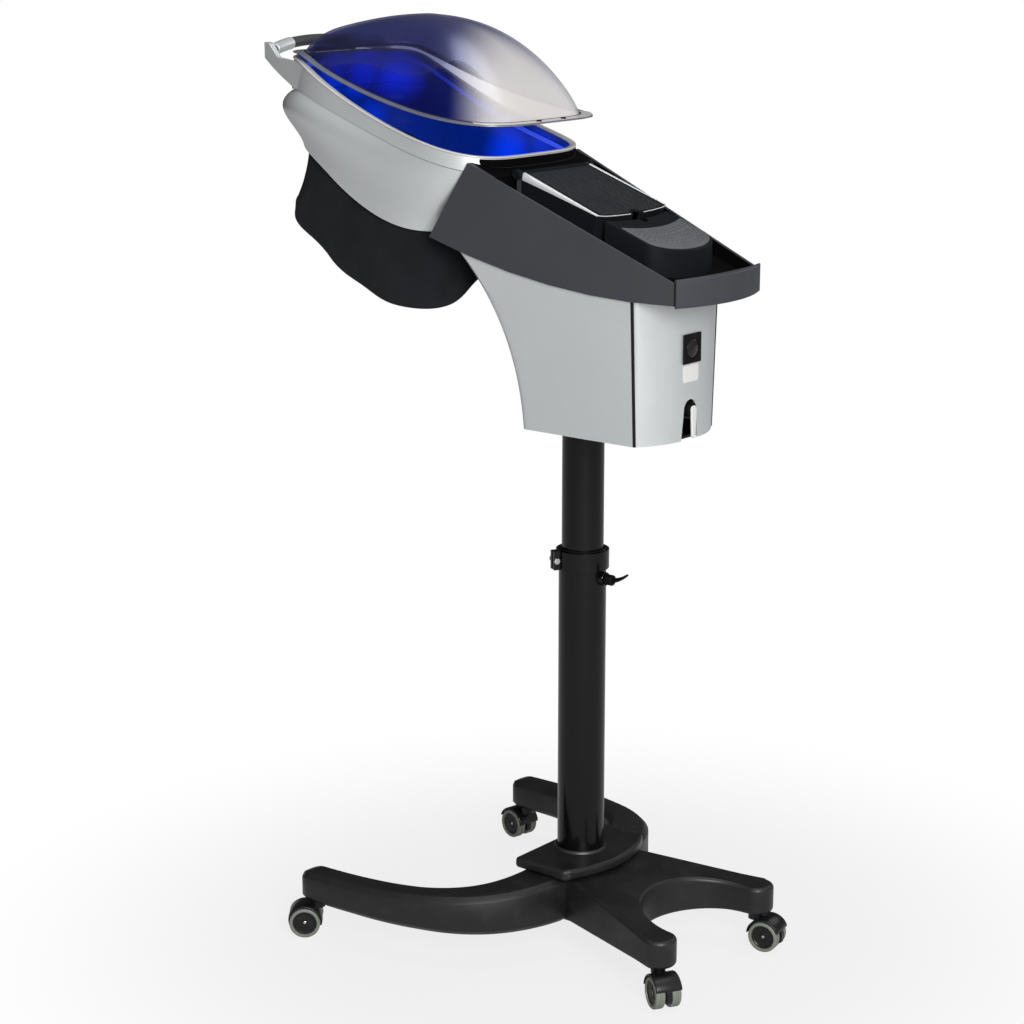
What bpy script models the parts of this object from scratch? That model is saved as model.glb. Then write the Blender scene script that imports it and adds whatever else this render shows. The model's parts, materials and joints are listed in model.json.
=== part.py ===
"""Hair steamer: a lit hood with a clear lid on a steam housing, a telescopic column and a castor base.

Metres, +Z up.  The client sits on the -Y side, the operator stands on the +Y side.
The origin is on the floor, on the axis of the column.
"""
import math

import bmesh
import bpy
from mathutils import Vector

ASSEMBLY = "hair_steamer"

# Clearances
SEAT_GAP = 0.0003       # between faces that touch
RUN_GAP = 0.0005        # round pins and faces that turn or slide

# Castors
WHEEL_RADIUS = 0.025
WHEEL_WIDTH = 0.016
WHEEL_RECESS = 0.003    # depth of the disc inside its tyre
WHEEL_FACETS = 20       # flats of the tread; one of them lies on the floor
TYRE_DEPTH = 0.005
AXLE_RADIUS = 0.003
CASTOR_TRAIL = 0.021    # axle behind the swivel axis
WEB_WIDTH = 0.009       # plate between the two wheels
FENDER_WALL = 0.003
STEM_RADIUS = 0.0055
STEM_DEPTH = 0.028      # length of stem inside the leg
SWIVEL_DEPTH = 0.0125   # length of stem below the leg
BOSS_RADIUS = 0.0115
CASTOR_HEIGHT = 0.062   # floor to underside of the legs

# Base frame
LEG_DEPTH = 0.045       # at the rear castors
LEG_HALF = 0.028        # half width of a rear leg
HUB_DEPTH = 0.076
HUB_DROP = 0.006        # underside of the hub below the castor pads
PAD_LENGTH = 0.070      # level underside round a rear castor
HUB_HALF = 0.085        # half width of the hub between the front arms
HUB_FRONT = 0.048
HUB_BACK = 0.042
FRONT_PIVOT = (0.272, 0.328)    # castor swivel: side, forward
REAR_PIVOT = (0.134, 0.252)     # castor swivel: side, rearward
FORK_APEX = 0.150               # front of the gap between the rear legs
ARM_ROOT_HALF = 0.040
ARM_TIP_HALF = 0.025
ARM_TIP_DEPTH = 0.049
ARM_CHAMFER = 0.009
FRAME_BEVEL = 0.007
HUB_COVER_HALF = 0.106
HUB_COVER_FRONT = 0.052
HUB_COVER_SIDE = 0.048
HUB_COVER_BACK = 0.078
HUB_COVER_HEIGHT = 0.018

# Column
TUBE_RADIUS = 0.0375
TUBE_WALL = 0.0025
TUBE_TOP = 0.648
TUBE_SOCKET = 0.034     # depth of tube inside the hub
MAST_RADIUS = 0.033
MAST_WALL = 0.0025
MAST_FOOT = 0.360       # lower end of the mast at the pictured height
BUSH_HEIGHT = 0.022
BUSH_LIP = 0.0025
FOOT_RING_WIDTH = 0.005
FOOT_RING_HEIGHT = 0.004
COLLAR_HEIGHT = 0.030
COLLAR_WALL = 0.004
COLLAR_EAR = 0.009      # reach of the split ears
COLLAR_SPLIT = 0.004
EAR_THICKNESS = 0.006
EAR_ANGLE = math.radians(-30)
EAR_BOLT_RADIUS = 0.003
LOCK_DROP = 0.043       # lock screw below the tube's top
LOCK_RADIUS = 0.004
LOCK_BOSS_RADIUS = 0.011
LOCK_BOSS_REACH = 0.009
LOCK_KNOB_RADIUS = 0.0085
LOCK_KNOB_LENGTH = 0.014
LOCK_LEVER_LENGTH = 0.034
LOCK_LEVER_RISE = 0.014

# Steam housing
HEAD_HEIGHT = 0.850     # floor to underside of the housing
HOUSING_HALF = 0.100    # half width at the bottom
HOUSING_FRONT = -0.046  # bottom of the front wall
HOUSING_BACK = 0.170    # seam of the rear panel
HOUSING_BRIDGE = 0.104  # how far the front wall sweeps forward at its top
HOUSING_CORNER = 0.014
PANEL_WALL = 0.003
PANEL_TUCK = 0.010      # height of panel hidden inside the cowl
REAR_BULGE = 0.030
FLOOR_RISE = 0.002
FLOOR_WALL = 0.004
SOCKET_HEIGHT = 0.056
SOCKET_WALL = 0.0035
SOCKET_FLANGE = 0.0035

# Cowl
COWL_HALF = 0.128       # half width over the column
COWL_TAPER = 0.080      # narrowing per metre towards the rear
COWL_WALL = 0.004
COWL_BACK = 0.245
COWL_NECK_TOP = -0.118  # slanted seam with the hood, upper and lower end
COWL_NECK_LOW = -0.190
COWL_EDGE_LOW = 0.2185  # lower edge at the rear, above the housing's underside
COWL_EDGE_RADIUS = 1.1111
COWL_EDGE_FLAT = 0.200  # where the lower edge runs level
COWL_TOP = 0.354        # upper edge over the column
COWL_SLOPE = 0.419
BULKHEAD = -0.072       # rear face of the neck
DECK_FRONT = 0.349      # deck height at the neck
DECK_SLOPE = 0.368
DECK_WALL = 0.004
CAVITY_FRONT = -0.158   # room under the neck for the top of the front wall
CAVITY_NECK = 0.009
GRIP_BULGE = 0.026
GRIP_EDGE = 0.003
GRIP_TOP = 0.258
GRIP_CROWN = 0.018
GRIP_FOOT = 0.216
GRIP_SOFT = 0.004       # chamfer of its rear edges

# Tank, cover and controls
COVER_HALF = 0.085
COVER_FRONT = -0.056
COVER_BACK = 0.098
COVER_BOW = 0.010       # arc of the cover's rear edge
COVER_RISE = 0.046      # above the deck
COVER_WALL = 0.003
COVER_NOTCH_RADIUS = 0.009
TRIM_WIDTH = 0.007
TRIM_HEIGHT = 0.002
HINGE_RADIUS = 0.0045
HINGE_PIN = 0.002
HINGE_LUG = 0.005
TANK_HALF = 0.062
TANK_FRONT = -0.044
TANK_BACK = 0.084
TANK_FLOOR = 0.150
TANK_WALL = 0.003
TANK_FLANGE = 0.007
FILL_INSET = 0.007      # deck opening inside the tank's walls
PLINTH_HALF = 0.078
PLINTH_FRONT = 0.111
PLINTH_BACK = 0.208
PLINTH_BOW = 0.040      # round rear end
PLINTH_RISE = 0.038
PLINTH_WALL = 0.003
KEYPAD_INSET = 0.006
KEYPAD_DEPTH = 0.068
KEYPAD_BOW = 0.022
KEYPAD_THICKNESS = 0.0015
BOARD_SIZE = (0.110, 0.040, 0.0016)

# Rear fittings
SWITCH_PLATE = 0.045
SWITCH_THICKNESS = 0.003
SWITCH_RADIUS = 0.0155
SWITCH_BARREL = 0.0175
SWITCH_DEPTH = 0.018
SWITCH_HEIGHT = 0.139
ROCKER_GAP = 0.0013
ROCKER_THICKNESS = 0.010
DRAIN_HEIGHT = 0.046
DRAIN_RADIUS = 0.011
DRAIN_LENGTH = 0.040
DRAIN_STANDOFF = 0.0045     # lever's inner face in front of the rear panel
DRAIN_LEVER = (0.043, 0.0045, 0.004)    # length, half width, thickness
NOTCH_TOP_RADIUS = 0.0155
NOTCH_FOOT_HALF = 0.0225
GLAND_RADIUS = 0.009
GLAND_FLANGE = 0.003
GLAND_PLACE = (-0.060, 0.125)

# Steam path
BOILER_RADIUS = 0.036
BOILER_HEIGHT = 0.105
BOILER_SHOULDER = 0.008
BOILER_PLACE = (0.046, 0.108)
PORT_SIDE = 0.055
PORT_HEIGHT = 0.0662    # above the cowl's lower edge at the neck
PORT_RADIUS = 0.012
PORT_WALL = 0.002
NOZZLE_FRONT = -0.198
NOZZLE_BACK = -0.088
DUCT_SIDE = 0.084
DUCT_RADIUS = 0.010

# Hood
HOOD_CENTRE = -0.300
HOOD_HALF_WIDTH = 0.155
HOOD_HALF_LENGTH = 0.208
HOOD_SQUARE = 4.2       # superellipse power of the plan
HOOD_POINTS = 44
HOOD_COURSES = (0, 0.25, 0.6, 1)    # shares of the way from the band to the mouth
HOOD_BULGE = 0.020      # fullness of the shell below the band
MOUTH_CENTRE = -0.345   # plan of the lower edge
MOUTH_HALF_WIDTH = 0.137
MOUTH_HALF_LENGTH = 0.155
MOUTH_LEVEL = 0.293     # lower edge at the rear
MOUTH_FLAT = -0.200
MOUTH_RADIUS = 0.26316
RIM_REAR = (-0.103, 0.408)      # place and height of the rim at the rear
RIM_SLOPE = 0.167
RIM_RADIUS = 0.8562
RIM_LEVEL = -0.440      # forward of this the rim levels out
RIM_EASE = 0.025
BAND_HEIGHT = 0.022
BAND_FRONT_FLAT = -0.260
BAND_FRONT_RADIUS = 1.0
BAND_FLARE = 0.004      # the band widens downwards
BAND_STEP = 0.0015      # shell set back under the band
HOOD_WALL = 0.003
LINER_WALL = 0.002
LINER_GAP = 0.0007      # between shell and liner, whose faces are doubly curved
LINER_LIFT = 0.004      # liner's lower edge above the shell's
TRIM_RING_OUT = 0.0015
TRIM_RING_IN = 0.0075
TRIM_RING_HEIGHT = 0.003
LIGHT_WIDTH = 0.004
LIGHT_HEIGHT = 0.007
LIGHT_DROP = 0.010
HANDLE_FORWARD = 0.024  # ends of the grip ahead of the hood
HANDLE_HEIGHT = 0.554
HANDLE_HALF = 0.120
HANDLE_BOW = 0.024      # how far the grip bows forward
HANDLE_CROWN = 0.010    # and upward
HANDLE_RADIUS = 0.0095
HANDLE_ROOT_DROP = 0.019    # middle of an arm's root below the rim
HANDLE_ROOT_DEPTH = 0.030
HANDLE_ROOT = 0.77      # where the arms leave the band, as a share of its half length
HANDLE_ARM = 0.012
HANDLE_ARM_DEPTH = 0.020

# Lid of the hood
LID_FLANGE = 0.014
LID_OVERHANG = 0.002
LID_REAR = 0.022        # overhang at the rear, used to lift the lid
LID_WALL = 0.0025
LID_GAP = 0.0030        # over the trim when shut
LID_RISE = 0.120
LID_SKEW = 0.41         # the dome is fuller towards the rear
LID_FULLNESS = 2.0
LID_SHOULDER = 0.80
LID_RINGS = 6
LID_CROWN = 0.10        # size of the last ring against the base
LID_HINGE_FORWARD = 0.008
LID_HINGE_HALF = 0.045
LID_AJAR = math.radians(6.1)

# Neck curtain
CURTAIN_WALL = 0.002
CURTAIN_GAP = 0.0011    # clears the flats of the liner's corners
CURTAIN_TUCK = 0.012
CURTAIN_DROP = 0.140
CURTAIN_FLARE = 0.022   # hem wider than the mouth
CURTAIN_REAR_RISE = 0.040
CURTAIN_FRONT_GAP = math.radians(50)    # half angle left open for the face
CURTAIN_CORNER = 0.10   # share of the path that rounds each lower corner
CURTAIN_FOLDS = 9
CURTAIN_FOLD_DEPTH = 0.005
CURTAIN_POINTS = 56
CURTAIN_ROWS = 5

# Levels worked out from the sizes above
LEG_BOTTOM = CASTOR_HEIGHT
LEG_TOP = LEG_BOTTOM + LEG_DEPTH
HUB_BOTTOM = LEG_BOTTOM - HUB_DROP
HUB_TOP = HUB_BOTTOM + HUB_DEPTH
HUB_COVER_TOP = HUB_TOP + SEAT_GAP + HUB_COVER_HEIGHT
LOCK_HEIGHT = TUBE_TOP - LOCK_DROP
LID_CENTRE = HOOD_CENTRE + (LID_REAR - LID_OVERHANG) / 2
LID_HALF_WIDTH = HOOD_HALF_WIDTH + LID_OVERHANG
LID_HALF_LENGTH = HOOD_HALF_LENGTH + (LID_REAR + LID_OVERHANG) / 2
FLOOR_TOP = FLOOR_RISE + FLOOR_WALL
REAR_FACE = HOUSING_BACK + REAR_BULGE
SHELL_INSET = BAND_STEP
LINER_INSET = BAND_STEP + HOOD_WALL + LINER_GAP
CURTAIN_INSET = LINER_INSET + LINER_WALL + CURTAIN_GAP

CASTORS = {
    "front_left": (FRONT_PIVOT[0], -FRONT_PIVOT[1], math.radians(39)),
    "front_right": (-FRONT_PIVOT[0], -FRONT_PIVOT[1], math.radians(-10)),
    "rear_left": (REAR_PIVOT[0], REAR_PIVOT[1], math.radians(148)),
    "rear_right": (-REAR_PIVOT[0], REAR_PIVOT[1], math.radians(190)),
}

FINISHES = {
    "satin_black": ((0.012, 0.012, 0.013), 0.45, 0.0),
    "black_plastic": ((0.010, 0.010, 0.011), 0.50, 0.0),
    "castor_black": ((0.009, 0.009, 0.010), 0.35, 0.0),
    "tyre_grey": ((0.20, 0.22, 0.18), 0.40, 0.0),
    "steel": ((0.55, 0.55, 0.56), 0.30, 1.0),
    "silver_plastic": ((0.56, 0.57, 0.59), 0.38, 0.3),
    "slate_plastic": ((0.045, 0.048, 0.058), 0.42, 0.0),
    "keypad_grey": ((0.16, 0.17, 0.18), 0.55, 0.0),
    "white_plastic": ((0.80, 0.80, 0.78), 0.40, 0.0),
    "blue_liner": ((0.004, 0.016, 0.75), 0.35, 0.0),
    "smoky_clear": ((0.35, 0.38, 0.50), 0.06, 0.0),
    "curtain_black": ((0.012, 0.012, 0.014), 0.90, 0.0),
    "board_green": ((0.02, 0.12, 0.05), 0.60, 0.0),
}


def clear_scene():
    """Remove every object that is already in the scene."""
    for obj in list(bpy.data.objects):
        bpy.data.objects.remove(obj, do_unlink=True)


def new_collection(name):
    collection = bpy.data.collections.new(name)
    bpy.context.scene.collection.children.link(collection)
    return collection


def finish_material(name):
    """Return the Principled material of one finish, made on first use."""
    found = bpy.data.materials.get(name)
    if found:
        return found
    colour, roughness, metallic = FINISHES[name]
    made = bpy.data.materials.new(name)
    made.use_nodes = True
    made.diffuse_color = (*colour, 1.0)
    shader = made.node_tree.nodes["Principled BSDF"]
    shader.inputs["Base Color"].default_value = (*colour, 1.0)
    shader.inputs["Roughness"].default_value = roughness
    shader.inputs["Metallic"].default_value = metallic
    return made


clear_scene()
PARTS = new_collection(ASSEMBLY)
CUTTERS = new_collection(ASSEMBLY + "_cutters")


def empty(name, at, parent=None, turn=(0, 0, 0)):
    """Add an empty that carries the pieces of one body."""
    holder = bpy.data.objects.new(name, None)
    PARTS.objects.link(holder)
    holder.parent = parent
    holder.location = at
    holder.rotation_euler = turn
    return holder


def mesh_object(name, bm, finish, parent=None, at=(0, 0, 0), turn=(0, 0, 0), sharp=40):
    """Turn a bmesh into a named, smooth-shaded part."""
    bmesh.ops.recalc_face_normals(bm, faces=bm.faces)
    mesh = bpy.data.meshes.new(name)
    bm.to_mesh(mesh)
    bm.free()
    mesh.shade_smooth()
    mesh.set_sharp_from_angle(angle=math.radians(sharp))
    obj = bpy.data.objects.new(name, mesh)
    PARTS.objects.link(obj)
    obj.data.materials.append(finish_material(finish))
    obj.parent = parent
    obj.location = at
    obj.rotation_euler = turn
    return obj


def as_cutter(obj):
    """Hide a tool shape from the model."""
    PARTS.objects.unlink(obj)
    CUTTERS.objects.link(obj)
    obj.hide_render = True
    obj.display_type = "WIRE"
    return obj


def boolean(target, tool, operation="DIFFERENCE"):
    """Cut a tool out of a part, or join it on."""
    as_cutter(tool)
    step = target.modifiers.new(operation.lower(), "BOOLEAN")
    step.operation = operation
    step.solver = "EXACT"
    step.object = tool
    return target


def round_edges(obj, width, segments=2, angle=35):
    """Round the hard edges of a part."""
    step = obj.modifiers.new("edges", "BEVEL")
    step.width = width
    step.segments = segments
    step.limit_method = "ANGLE"
    step.angle_limit = math.radians(angle)
    return obj


def skin(bm, a, b, c, d):
    """Fill four corners: one face where they are flat, else two along the shorter diagonal."""
    normal = (b.co - a.co).cross(c.co - a.co)
    if abs((d.co - a.co).dot(normal)) < 0.00001 * normal.length:
        bm.faces.new((a, b, c, d))
    elif (c.co - a.co).length < (d.co - b.co).length:
        bm.faces.new((a, b, c))
        bm.faces.new((a, c, d))
    else:
        bm.faces.new((a, b, d))
        bm.faces.new((b, c, d))


def loft(name, rings, finish, wrap=False, **place):
    """Skin a run of equal rings, capped at both ends or wrapped into a loop."""
    bm = bmesh.new()
    rows = [[bm.verts.new(point) for point in ring] for ring in rings]
    pairs = list(zip(rows, rows[1:])) + ([(rows[-1], rows[0])] if wrap else [])
    for low, high in pairs:
        for i in range(len(low)):
            j = (i + 1) % len(low)
            skin(bm, low[i], low[j], high[j], high[i])
    if not wrap:
        bm.faces.new(rows[0])
        bm.faces.new(rows[-1])
    return mesh_object(name, bm, finish, **place)


def cylinder(name, radius, depth, finish, axis="Z", sides=32, **place):
    """A round bar centred on its place, along one axis."""
    bm = bmesh.new()
    bmesh.ops.create_cone(bm, cap_ends=True, segments=sides, radius1=radius, radius2=radius, depth=depth)
    turns = {"X": (0, math.pi / 2, 0), "Y": (math.pi / 2, 0, 0), "Z": (0, 0, 0)}
    return mesh_object(name, bm, finish, turn=turns[axis], **place)


def block(name, size, finish, **place):
    """A box centred on its place."""
    bm = bmesh.new()
    bmesh.ops.create_cube(bm, size=1.0)
    bmesh.ops.scale(bm, vec=size, verts=bm.verts)
    return mesh_object(name, bm, finish, **place)


def eyelet(name, radius, foot, finish, **place):
    """Hinge lug across X: a round head on the hinge axis, and a foot whose outline is given in Y and Z."""
    outline = foot + arc(0, 0, radius, 0, 180, 8)
    return plate(name, outline, -HINGE_LUG / 2, HINGE_LUG / 2, finish, turn=(math.pi / 2, 0, math.pi / 2), **place)


def turned(name, profile, finish, steps=32, ring=False, **place):
    """Turn a profile of radius and height, listed top to bottom down its outer side."""
    mesh = bpy.data.meshes.new(name)
    points = [(radius, 0, height) for radius, height in profile]
    edges = [(i, i + 1) for i in range(len(points) - 1)]
    if ring:
        edges.append((len(points) - 1, 0))
    mesh.from_pydata(points, edges, [])
    obj = bpy.data.objects.new(name, mesh)
    PARTS.objects.link(obj)
    obj.data.materials.append(finish_material(finish))
    obj.parent = place.get("parent")
    obj.location = place.get("at", (0, 0, 0))
    obj.rotation_euler = place.get("turn", (0, 0, 0))
    screw = obj.modifiers.new("turn", "SCREW")
    screw.steps = steps
    screw.render_steps = steps
    screw.use_merge_vertices = True
    screw.merge_threshold = 0.00005
    screw.use_smooth_shade = True
    return obj


def plate(name, outline, low, high, finish, **place):
    """Extrude a flat outline in X and Y between two heights."""
    curve = bpy.data.curves.new(name, "CURVE")
    curve.dimensions = "2D"
    curve.fill_mode = "BOTH"
    curve.extrude = (high - low) / 2
    line = curve.splines.new("POLY")
    line.points.add(len(outline) - 1)
    for point, (x, y) in zip(line.points, outline):
        point.co = (x, y, 0, 1)
    line.use_cyclic_u = True
    guide = bpy.data.objects.new(name + "_outline", curve)
    PARTS.objects.link(guide)
    bpy.context.view_layer.update()
    solid = bpy.data.meshes.new_from_object(guide.evaluated_get(bpy.context.evaluated_depsgraph_get()))
    bpy.data.objects.remove(guide, do_unlink=True)
    bm = bmesh.new()
    bm.from_mesh(solid)
    bpy.data.meshes.remove(solid)
    bmesh.ops.remove_doubles(bm, verts=bm.verts, dist=0.00001)
    bmesh.ops.dissolve_limit(bm, angle_limit=math.radians(0.5), verts=bm.verts, edges=bm.edges)
    bmesh.ops.translate(bm, vec=(0, 0, (low + high) / 2), verts=bm.verts)
    return mesh_object(name, bm, finish, **place)


def swept_tube(name, points, radius, finish, parent=None):
    """A round tube with closed ends along a run of points."""
    curve = bpy.data.curves.new(name, "CURVE")
    curve.dimensions = "3D"
    curve.bevel_depth = radius
    curve.bevel_resolution = 1
    curve.use_fill_caps = True
    line = curve.splines.new("POLY")
    line.points.add(len(points) - 1)
    for point, place in zip(line.points, points):
        point.co = (*place, 1)
    obj = bpy.data.objects.new(name, curve)
    PARTS.objects.link(obj)
    obj.data.materials.append(finish_material(finish))
    obj.parent = parent
    return obj


def arc(x, y, radius, start, stop, count):
    """Points along an arc, both ends included, in degrees."""
    turns = [math.radians(start + (stop - start) * i / count) for i in range(count + 1)]
    return [(x + radius * math.cos(t), y + radius * math.sin(t)) for t in turns]


def bezier(points, t):
    """A point on a cubic curve through four control points."""
    a, b, c, d = (Vector(p) for p in points)
    s = 1 - t
    return a * s ** 3 + b * 3 * s * s * t + c * 3 * s * t * t + d * t ** 3


def smooth_run(points, count):
    """Points of a smooth curve through a few route points."""
    knots = [Vector(p) for p in points]
    ends = [2 * knots[0] - knots[1]] + knots + [2 * knots[-1] - knots[-2]]
    run = []
    for a, b, c, d in zip(ends, ends[1:], ends[2:], ends[3:]):
        reach = (c - a) / 6, (d - b) / 6
        run += [bezier((b, b + reach[0], c - reach[1], c), i / count) for i in range(count)]
    return run + [knots[-1]]


def mix(a, b, t):
    return a + (b - a) * t


# Castors

def castor_stem(name, x, y):
    """Steel pin pressed into the leg, with a collar that carries the leg."""
    collar = 0.0015
    top = LEG_BOTTOM + STEM_DEPTH - SEAT_GAP
    foot = LEG_BOTTOM - SWIVEL_DEPTH
    under = LEG_BOTTOM - SEAT_GAP
    profile = [(0, top), (STEM_RADIUS, top), (STEM_RADIUS, under), (STEM_RADIUS * 1.9, under),
               (STEM_RADIUS * 1.9, under - collar), (STEM_RADIUS, under - collar), (STEM_RADIUS, foot), (0, foot)]
    return turned(name, profile, "steel", steps=16, parent=FRAME, at=(x, y, 0))


def castor_hood(name, holder):
    """Moulded hood: a centre web, a fender over both wheels and the swivel boss."""
    half = WEB_WIDTH / 2 + RUN_GAP + WHEEL_WIDTH
    inner = WHEEL_RADIUS + RUN_GAP * 3
    outer = inner + FENDER_WALL
    boss_top = LEG_BOTTOM - SEAT_GAP - 0.0015 - RUN_GAP
    fender = arc(0, 0, outer, 8, 158, 9) + arc(0, 0, inner, 158, 8, 9)
    hood = plate(name, fender, -half, half, "castor_black", parent=holder,
                 at=(0, -CASTOR_TRAIL, WHEEL_RADIUS), turn=(math.pi / 2, 0, math.pi / 2))
    web = plate(name + "_web", arc(0, 0, inner + FENDER_WALL / 2, -20, 200, 11),
                -WEB_WIDTH / 2, WEB_WIDTH / 2, "castor_black", parent=holder,
                at=(0, -CASTOR_TRAIL, WHEEL_RADIUS), turn=(math.pi / 2, 0, math.pi / 2))
    low = WHEEL_RADIUS + math.sqrt(inner ** 2 - (CASTOR_TRAIL - BOSS_RADIUS) ** 2)
    boss = cylinder(name + "_boss", BOSS_RADIUS, boss_top - low, "castor_black", sides=20,
                    parent=holder, at=(0, 0, (boss_top + low) / 2))
    bore = cylinder(name + "_bore", STEM_RADIUS + RUN_GAP, LEG_BOTTOM, "castor_black", sides=20,
                    parent=holder, at=(0, 0, LEG_BOTTOM * 1.5 - SWIVEL_DEPTH - RUN_GAP))
    pin = cylinder(name + "_pin", AXLE_RADIUS + SEAT_GAP, half * 2, "castor_black", axis="X", sides=16,
                   parent=holder, at=(0, -CASTOR_TRAIL, WHEEL_RADIUS))
    boolean(hood, web, "UNION")
    boolean(hood, boss, "UNION")
    boolean(hood, bore)
    boolean(hood, pin)
    return hood


def castor_wheel(name, holder, side):
    """Wheel with a recessed disc face inside a rounded tyre, the recess facing outwards."""
    near = WEB_WIDTH / 2 + RUN_GAP
    far = near + WHEEL_WIDTH
    bore = AXLE_RADIUS + RUN_GAP
    rim = WHEEL_RADIUS - TYRE_DEPTH
    edge = WHEEL_WIDTH * 0.16
    lean = math.pi / WHEEL_FACETS
    tread = WHEEL_RADIUS / math.cos(lean)
    profile = [(rim, far), (tread - edge, far), (tread, far - edge), (tread, near + edge),
               (tread - edge, near), (bore, near), (bore, far - WHEEL_RECESS), (rim - 0.001, far - WHEEL_RECESS)]
    wheel = turned(name, profile, "tyre_grey", steps=WHEEL_FACETS, ring=True, parent=holder,
                   at=(0, -CASTOR_TRAIL, WHEEL_RADIUS))
    wheel.rotation_mode = "YXZ"
    wheel.rotation_euler = (lean, side * math.pi / 2, 0)
    return wheel


def castors():
    """Four twin-wheel castors, each at the swivel angle that it stands at."""
    for place, (x, y, angle) in CASTORS.items():
        castor_stem("castor_stem_" + place, x, y)
        holder = empty("castor_" + place, (x, y, 0), FRAME, (0, 0, angle))
        castor_hood("castor_hood_" + place, holder)
        span = WEB_WIDTH + 2 * (RUN_GAP + WHEEL_WIDTH - WHEEL_RECESS)
        cylinder("castor_axle_" + place, AXLE_RADIUS, span, "steel", axis="X", sides=16,
                 parent=holder, at=(0, -CASTOR_TRAIL, WHEEL_RADIUS))
        for hand, side in (("left", 1), ("right", -1)):
            castor_wheel(f"castor_wheel_{place}_{hand}", holder, side)


# Base frame

def stem_bore(name, x, y):
    """Blind hole for a castor stem."""
    depth = STEM_DEPTH * 2
    return cylinder(name, STEM_RADIUS + SEAT_GAP, depth, "steel", sides=20, parent=FRAME,
                    at=(x, y, LEG_BOTTOM + STEM_DEPTH - depth / 2))


def ramp(value, start, stop):
    """Share of the way from start to stop, held at both ends."""
    return min(1, max(0, (value - start) / (stop - start)))


def slope_plate(obj, folds, low, high):
    """Fold a flat plate along lines across Y, so that its faces follow two height functions."""
    middle = sum(v.co.z for v in obj.data.vertices) / len(obj.data.vertices)
    bm = bmesh.new()
    bm.from_mesh(obj.data)
    for y in folds:
        every = bm.verts[:] + bm.edges[:] + bm.faces[:]
        bmesh.ops.bisect_plane(bm, geom=every, plane_co=(0, y, 0), plane_no=(0, 1, 0))
    for vert in bm.verts:
        vert.co.z = high(vert.co.y) if vert.co.z > middle else low(vert.co.y)
    bm.to_mesh(obj.data)
    bm.free()


def base_fork():
    """Hub and two rear legs cast in one, with the arc-shaped gap between the legs."""
    side, back = REAR_PIVOT
    half = [(HUB_HALF, -HUB_FRONT), (HUB_HALF, HUB_BACK)]
    half += arc(side, back, LEG_HALF, 0, 180, 10)
    gap = side - LEG_HALF
    shrink = (back - FORK_APEX) / gap
    half += [(x, back + y * shrink) for x, y in arc(0, 0, gap, -8, -90, 9)]
    outline = half + [(-x, y) for x, y in reversed(half[:-1])]
    fork = plate("base_fork", outline, HUB_BOTTOM, HUB_TOP, "satin_black", parent=FRAME)
    pad = back - PAD_LENGTH / 2
    slope_plate(fork, (HUB_BACK, pad), lambda y: LEG_BOTTOM - HUB_DROP * ramp(y, pad, HUB_BACK),
                lambda y: mix(LEG_TOP, HUB_TOP, ramp(y, back, HUB_BACK)))
    round_edges(fork, FRAME_BEVEL, segments=1)
    socket = cylinder("tube_socket", TUBE_RADIUS + SEAT_GAP, TUBE_SOCKET * 2, "steel", sides=32,
                      parent=FRAME, at=(0, 0, HUB_TOP))
    boolean(fork, socket)
    for hand in (1, -1):
        boolean(fork, stem_bore(f"rear_stem_bore_{hand}", hand * side, back))
    return fork


def arm_section(centre, across, half, low, high):
    """Chamfered cross-section of a front arm."""
    c = min(ARM_CHAMFER, half * 0.45)
    shape = [(-half, low + c), (-half, high - c), (c - half, high), (half - c, high),
             (half, high - c), (half, low + c), (half - c, low), (c - half, low)]
    return [Vector((centre.x, centre.y, 0)) + across * s + Vector((0, 0, z)) for s, z in shape]


def base_arm(name, hand):
    """Front arm: leaves the hub sideways and sweeps forward to its castor."""
    side, forward = FRONT_PIVOT
    root = HUB_HALF + SEAT_GAP
    tip = LEG_BOTTOM + ARM_TIP_DEPTH
    path = [(root, -0.003, 0), (mix(root, side, 0.70), -0.02, 0), (side, -0.30 * forward, 0), (side, -forward, 0)]
    rings = []
    count = 12
    for i in range(count + 1):
        t = i / count
        centre = bezier(path, t)
        ahead = bezier(path, min(1, t + 0.01)) - bezier(path, max(0, t - 0.01))
        if i == 0:
            ahead = Vector((1, 0, 0))
        across = Vector((-ahead.y, ahead.x, 0)).normalized()
        half = mix(ARM_ROOT_HALF, ARM_TIP_HALF, min(1, t * 1.6))
        low = LEG_BOTTOM - HUB_DROP * max(0, 1 - t / 0.85) ** 0.7
        rings.append(arm_section(centre, across, half, low, mix(HUB_TOP, tip, t ** 0.8)))
    for share in (0.55, 0.85, 0.98):
        centre = Vector((side, -forward - ARM_TIP_HALF * share, 0))
        half = ARM_TIP_HALF * math.sqrt(1 - share * share)
        rings.append(arm_section(centre, Vector((1, 0, 0)), half, LEG_BOTTOM, tip - 0.008 * share ** 2))
    rings = [[Vector((hand * p.x, p.y, p.z)) for p in ring] for ring in rings]
    arm = loft(name, rings, "satin_black", parent=FRAME)
    return boolean(arm, stem_bore(name + "_stem_bore", hand * side, -forward))


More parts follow.
